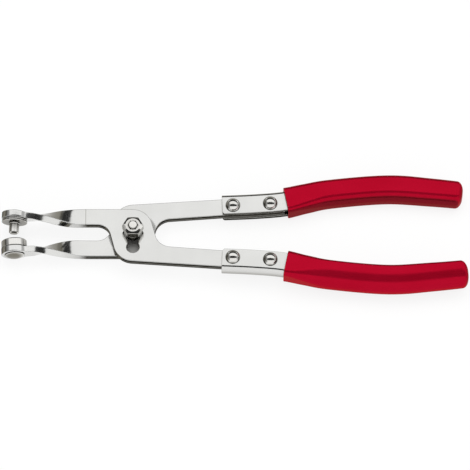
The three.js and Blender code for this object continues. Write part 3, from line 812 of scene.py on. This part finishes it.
def channel_section(distance, shrink):
    hidden = hidden_share(distance)
    outer = CHANNEL_WIDTH / 2 - CORE_SLIM_W * hidden
    top = CHANNEL_T / 2 - CORE_SLIM_T * hidden
    inner = outer - SHEET_T
    inside = top - SHEET_T
    fold = FOLD_OUTER_R + CORE_FOLD_GAIN * hidden
    short = clamp(1 - distance / CHANNEL_CORNER_R)
    free = CORE_RETREAT * hidden - CHANNEL_WIDTH / 2 + CHANNEL_CORNER_R * (1 - math.sqrt(1 - short**2))
    ring = rounded_ring([
        (outer, -top, fold),
        (outer, top, fold),
        (free, top, CHANNEL_EDGE_R),
        (free, inside, CHANNEL_EDGE_R),
        (inner, inside, FOLD_INNER_R),
        (inner, -inside, FOLD_INNER_R),
        (free, -inside, CHANNEL_EDGE_R),
        (free, -top, CHANNEL_EDGE_R),
    ], CHANNEL_FOLD_STEPS)
    return inset(ring, shrink)


def lofted(rings, first_section, last_section):
    """Points and faces of a closed skin over rings, with its two ends filled."""
    count = len(rings[0])
    points = [p for ring in rings for p in ring]
    faces = ring_faces(count, len(rings))
    last = (len(rings) - 1) * count
    faces += [(a, c, b) for a, b, c in filled([first_section], [])]
    faces += [(last + a, last + b, last + c) for a, b, c in filled([last_section], [])]
    return points, faces


def handle_channel(side, place, body):
    edge = CHANNEL_EDGE_R
    turns = spaced(0, math.pi / 2, SMALL_STEPS)
    front = [(edge * (1 - math.cos(a)), edge * (1 - math.sin(a))) for a in turns]
    corner = [(d, 0) for d in spaced(edge, CHANNEL_CORNER_R, CORNER_STATIONS)[1:]]
    rest = [(d, 0) for d in spaced(CHANNEL_CORNER_R, CHANNEL_LENGTH, CHANNEL_STEPS)[1:]]
    stations = [*front, *corner, *rest][::-1]
    rings = [handle_ring(d, channel_section(d, EDGE_SHRINK * s)) for d, s in stations]
    points, faces = lofted(rings, channel_section(*stations[0]), channel_section(0, edge * EDGE_SHRINK))
    per_corner = CHANNEL_FOLD_STEPS + 1
    free_edges = {3 * per_corner - 1, 7 * per_corner - 1}
    count = len(rings[0])
    walls = [f for f in range((len(rings) - 1) * count) if f % count in free_edges]
    new_piece(side + "_handle_channel", [place @ p for p in points], faces, "satin_nickel", body, walls)


def handle_rivet(side, which, spot, place, body):
    seat = CHANNEL_T / 2
    head = [
        (RIVET_HEAD_R, seat, RIVET_RIM_R),
        *dome(RIVET_HEAD_R, RIVET_HEAD_H - RIVET_RIM_H, seat + RIVET_RIM_H),
    ]
    foot = [(r, -z, soft) for r, z, soft in reversed(head)]
    corners = [*foot, (RIVET_SHANK_R, -seat), (RIVET_SHANK_R, seat), *head]
    spot_place = place @ Matrix.Translation((spot.x, spot.y, PLATE_MID))
    turned_piece(f"{side}_rivet_{which}", corners, spot_place, body)


# Vinyl grips
def oval_ring(right, left, top, corners):
    """A ring of four oval corners of (radius across, radius upright), anticlockwise from the lower right."""
    ring = []
    for k, (across, upright) in enumerate(corners):
        to_right = k in (0, 1)
        to_top = k in (1, 2)
        centre_x = right - across if to_right else left + across
        centre_y = (top - upright) if to_top else (upright - top)
        for a in spaced((k - 1) * math.pi / 2, k * math.pi / 2, GRIP_CORNER_STEPS):
            ring.append(Vector((centre_x + across * math.cos(a), centre_y + upright * math.sin(a))))
    return ring


def grip_section(side, distance, end, shrink):
    """The skin's section, crowned on the side that each grip shows from above in front."""
    mouth = clamp(1 - (distance - GRIP_START) / GRIP_TAPER_LENGTH)
    heel = clamp(1 - (end - distance) / GRIP_TAPER_LENGTH)
    over = clamp(1 - (end - distance) / GRIP_END_R)
    drawn = 1 - math.sqrt(1 - over**2)
    width = CAVITY_WIDTH + 2 * (GRIP_EDGE_WALL - GRIP_END_DRAW_W * drawn)
    width += MOUTH_SWELL_W * mouth**2 - END_TAPER_W * heel
    height = CAVITY_T + 2 * (GRIP_FACE_WALL - GRIP_END_DRAW_T * drawn)
    height += MOUTH_SWELL_T * mouth**2 - END_TAPER_T * heel
    shaped = smoothed((distance - GRIP_START) / GRIP_SHAPING)
    kept = 1 - GRIP_END_CORNER_LOSS * drawn

    def corner(target):
        return [lerp(GRIP_CORNER_R, radius, shaped) * kept - shrink for radius in target]

    crown = corner(GRIP_CROWN[side])
    brow = corner(GRIP_BROW[side])
    low = corner((GRIP_CORNER_R, GRIP_CORNER_R))
    corners = [low, crown, brow, low] if side == "front" else [crown, low, low, brow]
    right = width / 2 - shrink
    return oval_ring(right, -right, height / 2 - shrink, corners)


def grip_cavity(distance):
    """The room inside the skin, with the channel's look in it."""
    hidden = hidden_share(distance)
    half = CAVITY_WIDTH / 2
    fold = FOLD_OUTER_R + GRIP_FIT + (CORE_FOLD_GAIN - CAVITY_FOLD_LOSS) * hidden
    edge = (CHANNEL_EDGE_R, CHANNEL_EDGE_R)
    right = half - CORE_SLIM_W * hidden
    left = CORE_RETREAT * hidden - half
    top = CAVITY_T / 2 - CORE_SLIM_T * hidden
    return oval_ring(right, left, top, [(fold, fold), (fold, fold), edge, edge])


def vinyl_grip(side, nose, place, body):
    end = CHANNEL_LENGTH + nose
    round_from = end - GRIP_END_R
    stations = [(round_from + GRIP_END_R * math.sin(a), 0) for a in spaced(math.pi / 2, 0, GRIP_END_STEPS)]
    stations += [(d, 0) for d in spaced(round_from, GRIP_START + GRIP_LIP_R, GRIP_STEPS)[1:]]
    lip = spaced(0, math.pi / 2, EDGE_STEPS)[1:]
    stations += [(GRIP_START + GRIP_LIP_R * (1 - math.sin(a)), GRIP_LIP_R * (1 - math.cos(a))) for a in lip]
    rings = [handle_ring(d, grip_section(side, d, end, shrink)) for d, shrink in stations]
    cavity_end = CHANNEL_LENGTH + GRIP_FIT
    rings += [handle_ring(d, grip_cavity(d)) for d in spaced(GRIP_START, cavity_end, CHANNEL_STEPS)]
    points, faces = lofted(rings, grip_section(side, end, end, 0), grip_cavity(cavity_end))
    new_piece(side + "_grip", [place @ p for p in points], faces, "red_vinyl", body)


# Pivot
def thread_groove(z, angle):
    """How deep the thread's groove is there, from 0 at its crest to 1."""
    phase = (z / THREAD_PITCH - angle / TAU) % 1
    return 1 - abs(2 * phase - 1)


def pivot_bolt():
    stud_rows = spaced(SHOULDER_TOP_Z, STUD_TOP_Z, STUD_ROWS)

    def profile_at(angle):
        shoulder = FLAT_HALF / max(abs(math.cos(angle)), FLAT_HALF / SHOULDER_R)
        head = rounded_line([
            (0, 0),
            (BOLT_HEAD_R - BOLT_HEAD_BEVEL, 0, HEAD_EDGE_R),
            (BOLT_HEAD_R, BOLT_HEAD_BEVEL, HEAD_EDGE_R),
            (BOLT_HEAD_R, BOLT_HEAD_T, HEAD_SEAT_R),
            (shoulder, BOLT_HEAD_T),
        ], SMALL_STEPS)
        line = [(p.x, p.y) for p in head]
        line.append((shoulder, SHOULDER_TOP_Z))
        for z in stud_rows:
            thread = STUD_R - THREAD_DEPTH * thread_groove(z, angle)
            tip = STUD_R - STUD_CHAMFER + STUD_POINT_SLOPE * (STUD_TOP_Z - z)
            line.append((min(thread, tip), z))
        line.append((STUD_R - STUD_CHAMFER - STUD_POINT_STEP, STUD_TOP_Z))
        line.append((0, STUD_TOP_Z))
        return line

    points, faces = revolved(profile_at, spaced(0, TAU, ROUND)[:-1], False)
    new_piece("pivot_bolt", points, faces, "bright_nickel", "rear_lever")


def pivot_washer():
    low = FRONT_TOP_Z + WASHER_PLAY
    inner = SHOULDER_R + SHOULDER_FIT
    top = low + WASHER_T
    corners = [(inner, low), (WASHER_R, low), (WASHER_R, top, WASHER_EDGE_R), (inner, top)]
    turned_piece("pivot_washer", corners, Matrix.Identity(4), "washer", closed=True)


def pivot_nut():
    low = SHOULDER_TOP_Z
    high = NUT_TOP_Z
    face_r = NUT_FLATS / 2 - NUT_FACE_INSET
    bore_r = STUD_R + THREAD_FIT
    sector = TAU / NUT_SIDES
    bore_rows = spaced(high, low, NUT_ROWS)

    def profile_at(angle):
        from_flat = (angle % sector) - sector / 2
        side = NUT_FLATS / 2 / math.cos(from_flat)
        side = min(side, NUT_CORNER_R)
        drop = (side - face_r) / 2
        outer = rounded_line([
            (bore_r + COUNTERSINK, low),
            (face_r, low, NUT_FACE_R),
            (side, low + drop, SOFT_R),
            (side, high - drop, NUT_EDGE_R),
            (face_r, high, NUT_FACE_R),
            (bore_r + COUNTERSINK, high),
        ], SMALL_STEPS)
        line = [(p.x, p.y) for p in outer]
        for z in bore_rows[1:-1]:
            thread = bore_r - THREAD_DEPTH * thread_groove(z, angle)
            sink = bore_r + COUNTERSINK - NUT_SINK_SLOPE * min(high - z, z - low)
            line.append((max(thread, sink), z))
        return line

    angles = [sector * (k + share) for k in range(NUT_SIDES) for share in NUT_COLUMNS]
    points, faces = revolved(profile_at, angles, True)
    new_piece("pivot_nut", points, faces, "bright_nickel", "rear_lever")


# Swivelling tips, about Z on the eye: -Z is the working side
def swivel_tips(front_eye, rear_eye):
    eye_face = EYE_T / 2
    seat = -eye_face - TIP_PLAY
    flange_seat = seat - TIP_WASHER_T - TIP_PLAY
    root = flange_seat - FLANGE_T - TIP_PLAY
    head = eye_face + TIP_PLAY
    end = root - PIN_LENGTH
    pin = [
        (0, end),
        (PIN_END_R, end, PIN_POINT_R),
        (PIN_CHAMFER_R, end + PIN_CHAMFER, PIN_SHOULDER_R),
        (PIN_R, root - COLLAR_H, PIN_ROOT_R),
        (PIN_R + COLLAR_STEP, root, PIN_ROOT_R),
        (TIP_SHANK_R, root),
        (TIP_SHANK_R, head),
        (TIP_DOME_R, head),
        *dome(TIP_DOME_R, TIP_DOME_H - DOME_RIM_H, head + DOME_RIM_H),
    ]
    turned_piece("tip_pin", pin, front_eye, "pin_tip")
    for name, radius, low, top in (
        ("tip_flange", FLANGE_R, flange_seat - FLANGE_T, flange_seat),
        ("tip_washer", TIP_WASHER_R, seat - TIP_WASHER_T, seat),
    ):
        ring = [(TIP_HOLE_R, low), (radius, low, TIP_EDGE_R), (radius, top, TIP_EDGE_R), (TIP_HOLE_R, top)]
        turned_piece(name, ring, front_eye, "pin_tip", closed=True)
    rim = seat - CUP_T
    floor = rim + SOCKET_DEPTH
    cup = [
        (TIP_HOLE_R, seat),
        (TIP_HOLE_R, floor + SINK_DEPTH),
        (TIP_HOLE_R + SINK_FLARE, floor, SINK_RIM_R),
        (SOCKET_R, floor, CUP_EDGE_R),
        (SOCKET_R, rim + SOCKET_CHAMFER),
        (SOCKET_R + SOCKET_CHAMFER, rim),
        (CUP_R - CUP_CHAMFER, rim, CUP_EDGE_R),
        (CUP_R, rim + CUP_CHAMFER, CUP_EDGE_R),
        (CUP_R, seat - CUP_BACK_CHAMFER),
        (CUP_R - CUP_BACK_CHAMFER, seat),
    ]
    turned_piece("tip_cup", cup, rear_eye, "cup_tip", closed=True)
    rivet = [
        (0, floor),
        (TIP_SHANK_R + SINK_FLARE, floor, SINK_RIVET_R),
        (TIP_SHANK_R, floor + SINK_DEPTH),
        (TIP_SHANK_R, head),
        (CUP_DOME_R, head),
        *dome(CUP_DOME_R, CUP_DOME_H - DOME_RIM_H, head + DOME_RIM_H),
    ]
    turned_piece("tip_cup_rivet", rivet, rear_eye, "cup_tip")


# Node trees
class Nodes:
    """A node tree, with short calls that add and join its nodes."""

    def __init__(self, tree):
        self.nodes = tree.nodes
        self.links = tree.links

    def add(self, kind, **values):
        """A new node, with values for its inputs."""
        node = self.nodes.new("ShaderNode" + kind)
        for name, value in values.items():
            node.inputs[name.replace("_", " ")].default_value = value
        return node

    def join(self, source, target):
        self.links.new(source, target)

    def apart(self, vector):
        """The x, y and z of a vector."""
        split = self.add("SeparateXYZ")
        self.join(vector, split.inputs[0])
        return split.outputs

    def math(self, operation, a, b=0.0):
        node = self.add("Math")
        node.operation = operation
        for source, target in zip((a, b), node.inputs):
            if isinstance(source, (int, float)):
                target.default_value = source
            else:
                self.join(source, target)
        return node.outputs[0]

    def times(self, a, b):
        return self.math("MULTIPLY", a, b)

    def ranged(self, source, low, high, to_low=0.0, to_high=1.0):
        """The stretch from low to high laid on another one, and level past its ends."""
        node = self.add("MapRange", From_Min=low, From_Max=high, To_Min=to_low, To_Max=to_high)
        self.join(source, node.inputs["Value"])
        return node.outputs["Result"]

    def edge(self, source, start, end, before=0.0, after=1.0):
        """As ranged, but smooth where the stretch starts and ends."""
        output = self.ranged(source, start, end, before, after)
        output.node.interpolation_type = "SMOOTHSTEP"
        return output


# Materials
class Shader(Nodes):
    """A material's nodes. Places and facings are the piece's own, so that they move with it."""

    def __init__(self, name, **values):
        self.material = bpy.data.materials.new(name)
        self.material.use_nodes = True
        super().__init__(self.material.node_tree)
        self.surface = self.nodes["Principled BSDF"].inputs
        for socket, value in values.items():
            self.surface[socket.replace("_", " ")].default_value = value
        coordinates = self.add("TexCoord").outputs
        self.place = coordinates["Object"]
        self.facing = self.apart(coordinates["Normal"])

    def give(self, socket, source):
        self.join(source, self.surface[socket])

    def over_mm(self, source, low, high, to_low=0.0, to_high=1.0):
        """As ranged, for a place in millimetres."""
        return self.ranged(source, low * MM, high * MM, to_low, to_high)

    def noise(self, scale, stretch=(1, 1, 1), detail=2):
        mapping = self.add("Mapping", Scale=[scale * s for s in stretch])
        self.join(self.place, mapping.inputs["Vector"])
        noise = self.add("TexNoise", Scale=1, Detail=detail)
        self.join(mapping.outputs["Vector"], noise.inputs["Vector"])
        return noise.outputs["Fac"]

    def mixed(self, share, first, second):
        """From the first colour to the second, where the first may come from other nodes."""
        node = self.add("Mix")
        node.data_type = "RGBA"
        if isinstance(first, tuple):
            node.inputs["A"].default_value = (*first, 1)
        else:
            self.join(first, node.inputs["A"])
        node.inputs["B"].default_value = (*second, 1)
        self.join(share, node.inputs["Factor"])
        return node.outputs["Result"]

    def bumped(self, heights, strength, depth):
        """Bumps from one height, their depth in millimetres."""
        bump = self.add("Bump", Strength=strength, Distance=depth * MM)
        self.join(heights, bump.inputs["Height"])
        self.give("Normal", bump.outputs["Normal"])

    def shut_in(self, open_at, shut_at, reach):
        """0 in the open, and 1 where the table or another piece within reach shuts out the light."""
        node = self.add("AmbientOcclusion", Distance=reach * MM)
        node.samples = OCCLUSION_SAMPLES
        return self.ranged(node.outputs["AO"], open_at, shut_at)

    def shade_by_facing(self, colour, front):
        """The colour with painted shade on sides turned back and left, partly on the right, and by a share in
        front.
        """
        x, y, _ = self.facing
        away = self.math("MAXIMUM", self.ranged(y, *SHADE_BACK), self.ranged(x, *SHADE_LEFT))
        darker = self.mixed(away, colour, PAINTED_SHADE)
        darker = self.mixed(self.ranged(x, *SHADE_RIGHT, 0, SHADE_RIGHT_SHARE), darker, PAINTED_SHADE)
        return self.mixed(self.ranged(y, *SHADE_FRONT, 0, front), darker, PAINTED_SHADE)


def satin_nickel():
    """Smooth plate over stamped steel: barely cloudy, with faint scratches along the stamping.

    Shade is painted where the channels clasp the arms and little light gets in, low on the front channel's
    web, on sides turned away, and as a fine line along the front jaw's bend. It is rougher on the rear lever
    round the pivot, which shows in the slot.
    """
    shader = Shader("satin_nickel_plate", Metallic=1)
    clouds = shader.ranged(shader.noise(SATIN_CLOUDS), *NOISE_SPAN)
    plate = shader.mixed(clouds, SATIN_LIGHT, SATIN_DARK)
    x, _, z = shader.apart(shader.place)
    # A painted shade line along the front jaw's bend
    from_bend = shader.math("ABSOLUTE", shader.math("ADD", x, BEND_LINE * MM))
    bend = shader.over_mm(from_bend, *BEND_LINE_HALF, BEND_LINE_SHARE, 0)
    bend = shader.times(bend, shader.over_mm(z, MID_Z, MID_Z + FADE))
    shade_by_facing = shader.shade_by_facing(shader.mixed(bend, plate, PAINTED_SHADE), SATIN_FRONT_SHADE)
    # Painted shade where the channels clasp the arms and little light gets in
    clasped = shader.over_mm(x, CHANNEL_START - FADE, CHANNEL_START)
    shut = shader.times(shader.shut_in(*SATIN_SHUT), clasped)
    shut_in_shaded = shader.mixed(shut, shade_by_facing, PAINTED_SHADE)
    # Painted shade, darker towards the bottom of the front channel's web
    web = shader.times(clasped, shader.ranged(shader.facing[1], *WEB_FACING))
    web = shader.times(web, shader.over_mm(z, WEB_BRIGHT_Z, WEB_SHADED_Z, 0, WEB_SHADE_SHARE))
    shader.give("Base Color", shader.mixed(web, shut_in_shaded, PAINTED_SHADE))
    along, across = (shader.noise(scale, stretch) for scale, stretch in SATIN_SCRATCHES)
    scratches = shader.times(along, across)
    rough = shader.ranged(scratches, *SCRATCH_SPAN, *SATIN_ROUGHNESS)
    from_pivot = shader.add("VectorMath")
    from_pivot.operation = "LENGTH"
    shader.join(shader.place, from_pivot.inputs[0])
    rubbed = shader.over_mm(from_pivot.outputs["Value"], *RUBBED_REACH, RUBBED_ROUGHNESS, 0)
    rubbed = shader.times(rubbed, shader.over_mm(z, MID_Z + FADE / 2, MID_Z + FADE, 1, 0))
    shader.give("Roughness", shader.math("MAXIMUM", rough, rubbed))
    shader.bumped(scratches, *SATIN_BUMP)
    return shader.material


def sheared_steel():
    """The stamping's cut edges: a dark band above, a lighter streak and dark steel below, partly their own
    finish and partly painted reflection and shade.

    Where the jaw begins to twist they are painted as bright as the faces, as edges in the light.
    """
    shader = Shader("sheared_edge", Metallic=1, Specular_Tint=SHEARED_TINT)
    x, _, z = shader.apart(shader.place)
    drag = shader.noise(*WALL_DRAG)
    waver = shader.ranged(shader.noise(WALL_WAVES), *NOISE_SPAN, -WALL_WAVER, WALL_WAVER)
    level = shader.math("DIVIDE", shader.math("SUBTRACT", z, BOLT_HEAD_T * MM), PLATE_PITCH * MM)
    level = shader.math("ADD", shader.math("FRACT", level), waver)
    # These bands are partly the cut's own finish and partly painted reflection and shade
    above, below = shader.ranged(level, *STREAK_FOOT), shader.ranged(level, *STREAK_TOP, 1, 0)
    light_streak = shader.ranged(drag, *LIGHT_STREAK_SPAN, LIGHT_STREAK_LEAST, 1)
    light_streak = shader.times(shader.times(above, below), light_streak)
    darker = shader.mixed(shader.ranged(level, *DARK_BAND_FOOT), SHEARED_MIDDLE, SHEARED_DARK)
    cut = shader.mixed(light_streak, darker, SHEARED_LIGHT)
    # From here along the jaw the cut edges are painted as bright as the faces, as edges in the light
    bright_as_faces = shader.over_mm(x, BRIGHT_EDGE_FROM, BRIGHT_EDGE_TO)
    shader.give("Base Color", shader.shade_by_facing(shader.mixed(bright_as_faces, cut, SATIN_LIGHT), WALL_FRONT_SHADE))
    shader.give("Roughness", shader.ranged(bright_as_faces, 0, 1, *WALL_ROUGHNESS))
    shader.bumped(drag, *WALL_BUMP)
    return shader.material


def bright_nickel():
    """Polished plate on the turned pieces, with painted shade in its corners and on sides turned away, and
    the last trace of tool marks.
    """
    shader = Shader("bright_nickel_plate", Metallic=1)
    clouds = shader.ranged(shader.noise(BRIGHT_CLOUDS, detail=3), *BRIGHT_CLOUD_SPAN)
    plate = shader.shade_by_facing(shader.mixed(clouds, BRIGHT_LIGHT, BRIGHT_DARK), BRIGHT_FRONT_SHADE)
    # Painted shade in corners where little light gets in
    shader.give("Base Color", shader.mixed(shader.shut_in(*BRIGHT_SHUT), plate, SHUT_IN_SHADE))
    marks = shader.noise(TOOL_MARKS, detail=3)
    shader.give("Roughness", shader.ranged(marks, *NOISE_SPAN, *BRIGHT_ROUGHNESS))
    shader.bumped(marks, *BRIGHT_BUMP)
    return shader.material


def red_vinyl():
    """Dipped vinyl: an even red with a soft gloss of its own colour, slow waves in its skin and small scuffs.

    It is painted darker, as shade, on the sides that face the other grip, back and down, and at the two ends.
    """
    shader = Shader("red_vinyl_skin", **VINYL_GLOSS)
    waves = shader.noise(*VINYL_WAVES)
    red = shader.mixed(shader.ranged(waves, *NOISE_SPAN), VINYL_LIGHT, VINYL_DEEP)
    along, back, up = shader.facing
    to_other_grip = shader.over_mm(shader.apart(shader.place)[1], -GRIP_PARTING, GRIP_PARTING, 1, -1)
    inward = shader.times(back, to_other_grip)
    # Painted shade on sides that face the other grip, back, down and at the ends
    shade = shader.math("MAXIMUM", shader.ranged(inward, *INNER_SHADE_FACING), shader.ranged(back, *VINYL_BACK))
    shade = shader.math("MAXIMUM", shade, shader.ranged(up, *VINYL_UNDER))
    shade = shader.math("MAXIMUM", shade, shader.ranged(shader.math("ABSOLUTE", along), *VINYL_ENDS))
    shader.give("Base Color", shader.mixed(shade, red, VINYL_SHADE))
    scuffs = shader.noise(*VINYL_SCUFFS)
    shader.give("Roughness", shader.ranged(scuffs, *SCUFF_SPAN, *VINYL_ROUGHNESS))
    skin = shader.times(shader.noise(VINYL_PORES), VINYL_PORE_SHARE)
    shader.bumped(shader.math("ADD", waves, skin), *VINYL_BUMP)
    return shader.material


SHEARED = sheared_steel()
COVERINGS = {"satin_nickel": satin_nickel(), "bright_nickel": bright_nickel(), "red_vinyl": red_vinyl()}

# The pieces
front_place = Matrix.Translation((0, 0, MID_Z))
rear_place = front_place @ Matrix.Rotation(math.pi, 4, "X")
for side, hole, twist, nose, place in (
    ("front", slip_slot(), FRONT_TWIST, FRONT_GRIP_NOSE, front_place),
    ("rear", keyed_hole(), REAR_TWIST, REAR_GRIP_NOSE, rear_place),
):
    body = side + "_lever"
    lever_plate(side, hole, twist, place, body)
    handle_channel(side, place, body)
    for which, spot in zip(("front", "back"), rivet_places()):
        handle_rivet(side, which, spot, place, body)
    vinyl_grip(side, nose, place, body)
pivot_bolt()
pivot_washer()
pivot_nut()
swivel_tips(front_place @ eye_place(FRONT_TWIST), rear_place @ eye_place(REAR_TWIST))


# Floor and light
def pale_table():
    """White to the camera and in the metal, and a plain pale surface to all other light."""
    material = bpy.data.materials.new("pale_table")
    material.use_nodes = True
    tree = Nodes(material.node_tree)
    tree.nodes.clear()
    plain = tree.add("BsdfDiffuse", Color=(*TABLE_COLOUR, 1))
    shaded = tree.add("BsdfDiffuse", Color=(*TABLE_SHADED, 1))
    glow = tree.add("Emission", Strength=TABLE_GLOW)
    seen = tree.add("AddShader")
    tree.join(shaded.outputs[0], seen.inputs[0])
    tree.join(glow.outputs[0], seen.inputs[1])
    path = tree.add("LightPath").outputs
    straight = tree.math("MAXIMUM", path["Is Camera Ray"], path["Is Glossy Ray"])
    straight = tree.math("MAXIMUM", straight, path["Is Transmission Ray"])
    chosen = tree.add("MixShader")
    for source, target in zip((straight, plain.outputs[0], seen.outputs[0]), chosen.inputs):
        tree.join(source, target)
    surface = tree.add("OutputMaterial")
    tree.join(chosen.outputs[0], surface.inputs["Surface"])
    return material


def stage_floor():
    """A wide table that the tool's lowest point just touches."""
    level = cad_box[0].z
    reach = TABLE_REACH
    mesh = bpy.data.meshes.new("table_top")
    corners = [(x * reach, y * reach, level) for x, y in ((-1, -1), (1, -1), (1, 1), (-1, 1))]
    mesh.from_pydata(corners, [], [(0, 1, 2, 3)])
    mesh.materials.append(pale_table())
    in_scene("table_top", mesh)


def studio_light():
    """A soft box behind, one in front, a dark gap overhead, dim walls, and a lamp for what isn't metal."""
    world = bpy.data.worlds.new("studio")
    bpy.context.scene.world = world
    world.use_nodes = True
    tree = Nodes(world.node_tree)
    x, y, z = tree.apart(tree.add("TexCoord").outputs["Generated"])
    tilt = tree.math("DEGREES", tree.math("ARCTAN2", y, z))
    height = tree.math("DEGREES", tree.math("ARCSINE", z))
    near, far = BACK_BOX_TILTS
    behind = tree.times(tree.edge(tilt, *near), tree.edge(tilt, *far, BACK_BOX, 0))
    ahead = tree.edge(tilt, *FRONT_BOX_TILTS, FRONT_BOX, 0)
    wall = tree.edge(tilt, *BACK_WALL_TILTS, 0, BACK_WALL)
    boxes = tree.math("ADD", tree.math("ADD", behind, ahead), wall)
    boxes = tree.math("MAXIMUM", boxes, GAP_LIGHT)
    between = tree.times(tree.edge(x, *LEFT_EDGE), tree.edge(x, *RIGHT_EDGE, 1, 0))
    left = tree.edge(x, *LEFT_EDGE, LEFT_SIDE, 0)
    right = tree.edge(x, *RIGHT_EDGE, 0, RIGHT_SIDE)
    room = tree.math("ADD", tree.times(boxes, between), tree.math("ADD", left, right))
    skirt = tree.edge(height, *SKIRT_HEIGHT, 0, SKIRT_LIGHT)
    background = tree.nodes["Background"].inputs
    tree.join(tree.math("MAXIMUM", room, skirt), background["Strength"])
    background["Color"].default_value = (*STUDIO_COLOUR, 1)
    lamp = bpy.data.lights.new("ceiling_lamp", "SUN")
    lamp.energy = CEILING_LAMP
    lamp.angle = math.radians(CEILING_LAMP_ANGLE)
    in_scene("ceiling_lamp", lamp).visible_glossy = False


def photo_camera():
    """A long lens from the photograph's angle, with the pivot where the photograph has it."""
    upright = Vector((0, math.sin(VIEW_ELEVATION), math.cos(VIEW_ELEVATION)))
    level = Vector((1, 0, 0))
    right = level * math.cos(VIEW_ROLL) + upright * math.sin(VIEW_ROLL)
    up = upright * math.cos(VIEW_ROLL) - level * math.sin(VIEW_ROLL)
    back = right.cross(up)
    aside = (IMAGE_SIZE / 2 - PIVOT_PIXEL[0]) * MM_PER_PIXEL
    above = (PIVOT_PIXEL[1] - IMAGE_SIZE / 2) * MM_PER_PIXEL
    target = Vector((0, 0, FRONT_TOP_Z)) + right * aside + up * above
    data = bpy.data.cameras.new("photo_camera")
    data.sensor_width = SENSOR_MM
    data.lens = SENSOR_MM * VIEW_DISTANCE / (IMAGE_SIZE * MM_PER_PIXEL)
    data.clip_start, data.clip_end = CAMERA_CLIP
    camera = in_scene("photo_camera", data)
    axes = Matrix((right, up, back)).transposed().to_4x4()
    camera.matrix_world = Matrix.Translation((target + back * VIEW_DISTANCE) * MM) @ axes
    bpy.context.scene.camera = camera


stage_floor()
studio_light()
photo_camera()
bpy.context.scene.view_settings.view_transform = "Standard"
